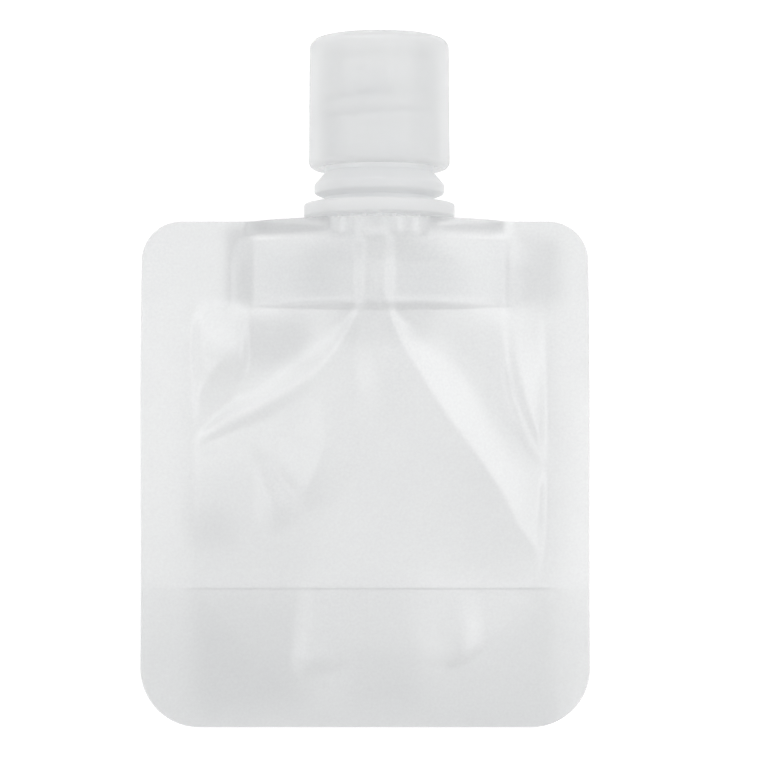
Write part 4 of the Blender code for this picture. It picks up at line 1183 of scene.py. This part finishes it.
spout.data.materials.append(moulded_material(
    "milky_spout", light=(0.785, 0.795, 0.8, 1), dark=(0.755, 0.765, 0.775, 1), alpha=0.85, roughness=0.36))
cap.data.materials.append(moulded_material(
    "milky_cap", light=(0.76, 0.77, 0.775, 1), dark=(0.73, 0.74, 0.75, 1), alpha=0.55, roughness=0.4))
liner.data.materials.append(moulded_material(
    "white_liner", light=(0.9, 0.9, 0.89, 1), dark=(0.87, 0.87, 0.86, 1), alpha=0.8, roughness=0.4))
print("moulded materials:", [piece.data.materials[0].name for piece in (spout, cap, liner)])

# %% [markdown]
# ## Floor and light
#
# Four softboxes light the pouch: one beyond the cap, one at each side and a small one near the lower left
# corner. A pale world fills the shadows. The floor shows white to the camera and still takes the pouch's
# faint shadow.

# %% Floor
FLOOR_SIDE = 1.5
FLOOR_DROP = 0.05
FLOOR_GLOW = 0.3
FLOOR_LIGHT = (0.9, 0.9, 0.9, 1)
FLOOR_DARK = (0.88, 0.88, 0.885, 1)
FLOOR_SPECULAR = 0.2
FLOOR_ROUGHNESS = 0.9
FLOOR_CLOUD_SCALE = 6
WHITE = (1, 1, 1, 1)
corners = [(a * FLOOR_SIDE, b * FLOOR_SIDE) for a, b in ((-1, -1), (1, -1), (1, 1), (-1, 1))]
floor_mesh = bpy.data.meshes.new("floor")
floor_mesh.from_pydata([(*corner, -FLOOR_DROP * MM) for corner in corners], [], [(0, 1, 2, 3)])
floor = new_object("floor", floor_mesh)
floor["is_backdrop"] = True
paint, tree, shader, coords = new_material("pale_floor", FLOOR_SPECULAR)
cloud = use_group(tree, cloud_group, {"Vector": coords, "Scale": FLOOR_CLOUD_SCALE})
colour = mix_colours(tree, cloud["Cloud"], FLOOR_LIGHT, FLOOR_DARK)
path = tree.nodes.new("ShaderNodeLightPath")
seen = math_node(tree, "MAXIMUM", path.outputs["Is Camera Ray"], path.outputs["Is Glossy Ray"])
glow = times(tree, seen, FLOOR_GLOW)
set_inputs(tree, shader, {
    "Base Color": colour, "Roughness": FLOOR_ROUGHNESS, "Emission Strength": glow, "Emission Color": WHITE})
floor_mesh.materials.append(paint)
print("floor", FLOOR_SIDE * 2, "m wide")

# %% Light
# A softbox has a place and a size in metres and a power in watts, and faces the pouch.
WORLD_STRENGTH = 0.38
FILM_LAYERS = 32
LAMPS = {
    "far softbox": ((0.1, 0.5, 0.78), (1.5, 0.45), 2.4),
    "right softbox": ((0.71, 0.02, 0.5), (1.3, 0.4), 3),
    "left softbox": ((-0.69, 0.2, 0.5), (1.4, 0.35), 2.6),
    "near softbox": ((-0.48, -0.48, 0.5), (0.5, 0.5), 0.8),
}
world = bpy.data.worlds.new("studio")
world.use_nodes = True
bpy.context.scene.world = world
background = world.node_tree.nodes["Background"]
set_inputs(world.node_tree, background, {"Color": WHITE, "Strength": WORLD_STRENGTH})
for name, (place, size, power) in LAMPS.items():
    lamp_data = bpy.data.lights.new(name, "AREA")
    lamp_data.shape = "RECTANGLE"
    lamp_data.size, lamp_data.size_y = size
    lamp_data.energy = power
    lamp = new_object(name, lamp_data)
    lamp.location = place
    lamp.rotation_euler = (-lamp.location.normalized()).to_track_quat("-Z", "Y").to_euler()
    print(name, power, "W")

bpy.context.scene.view_settings.view_transform = "Standard"
bpy.context.scene.cycles.transparent_max_bounces = FILM_LAYERS

# %% Sizes and the end
low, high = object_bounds()
print("visual box in mm:", [round((b - a) * 1000, 1) for a, b in zip(low, high)])
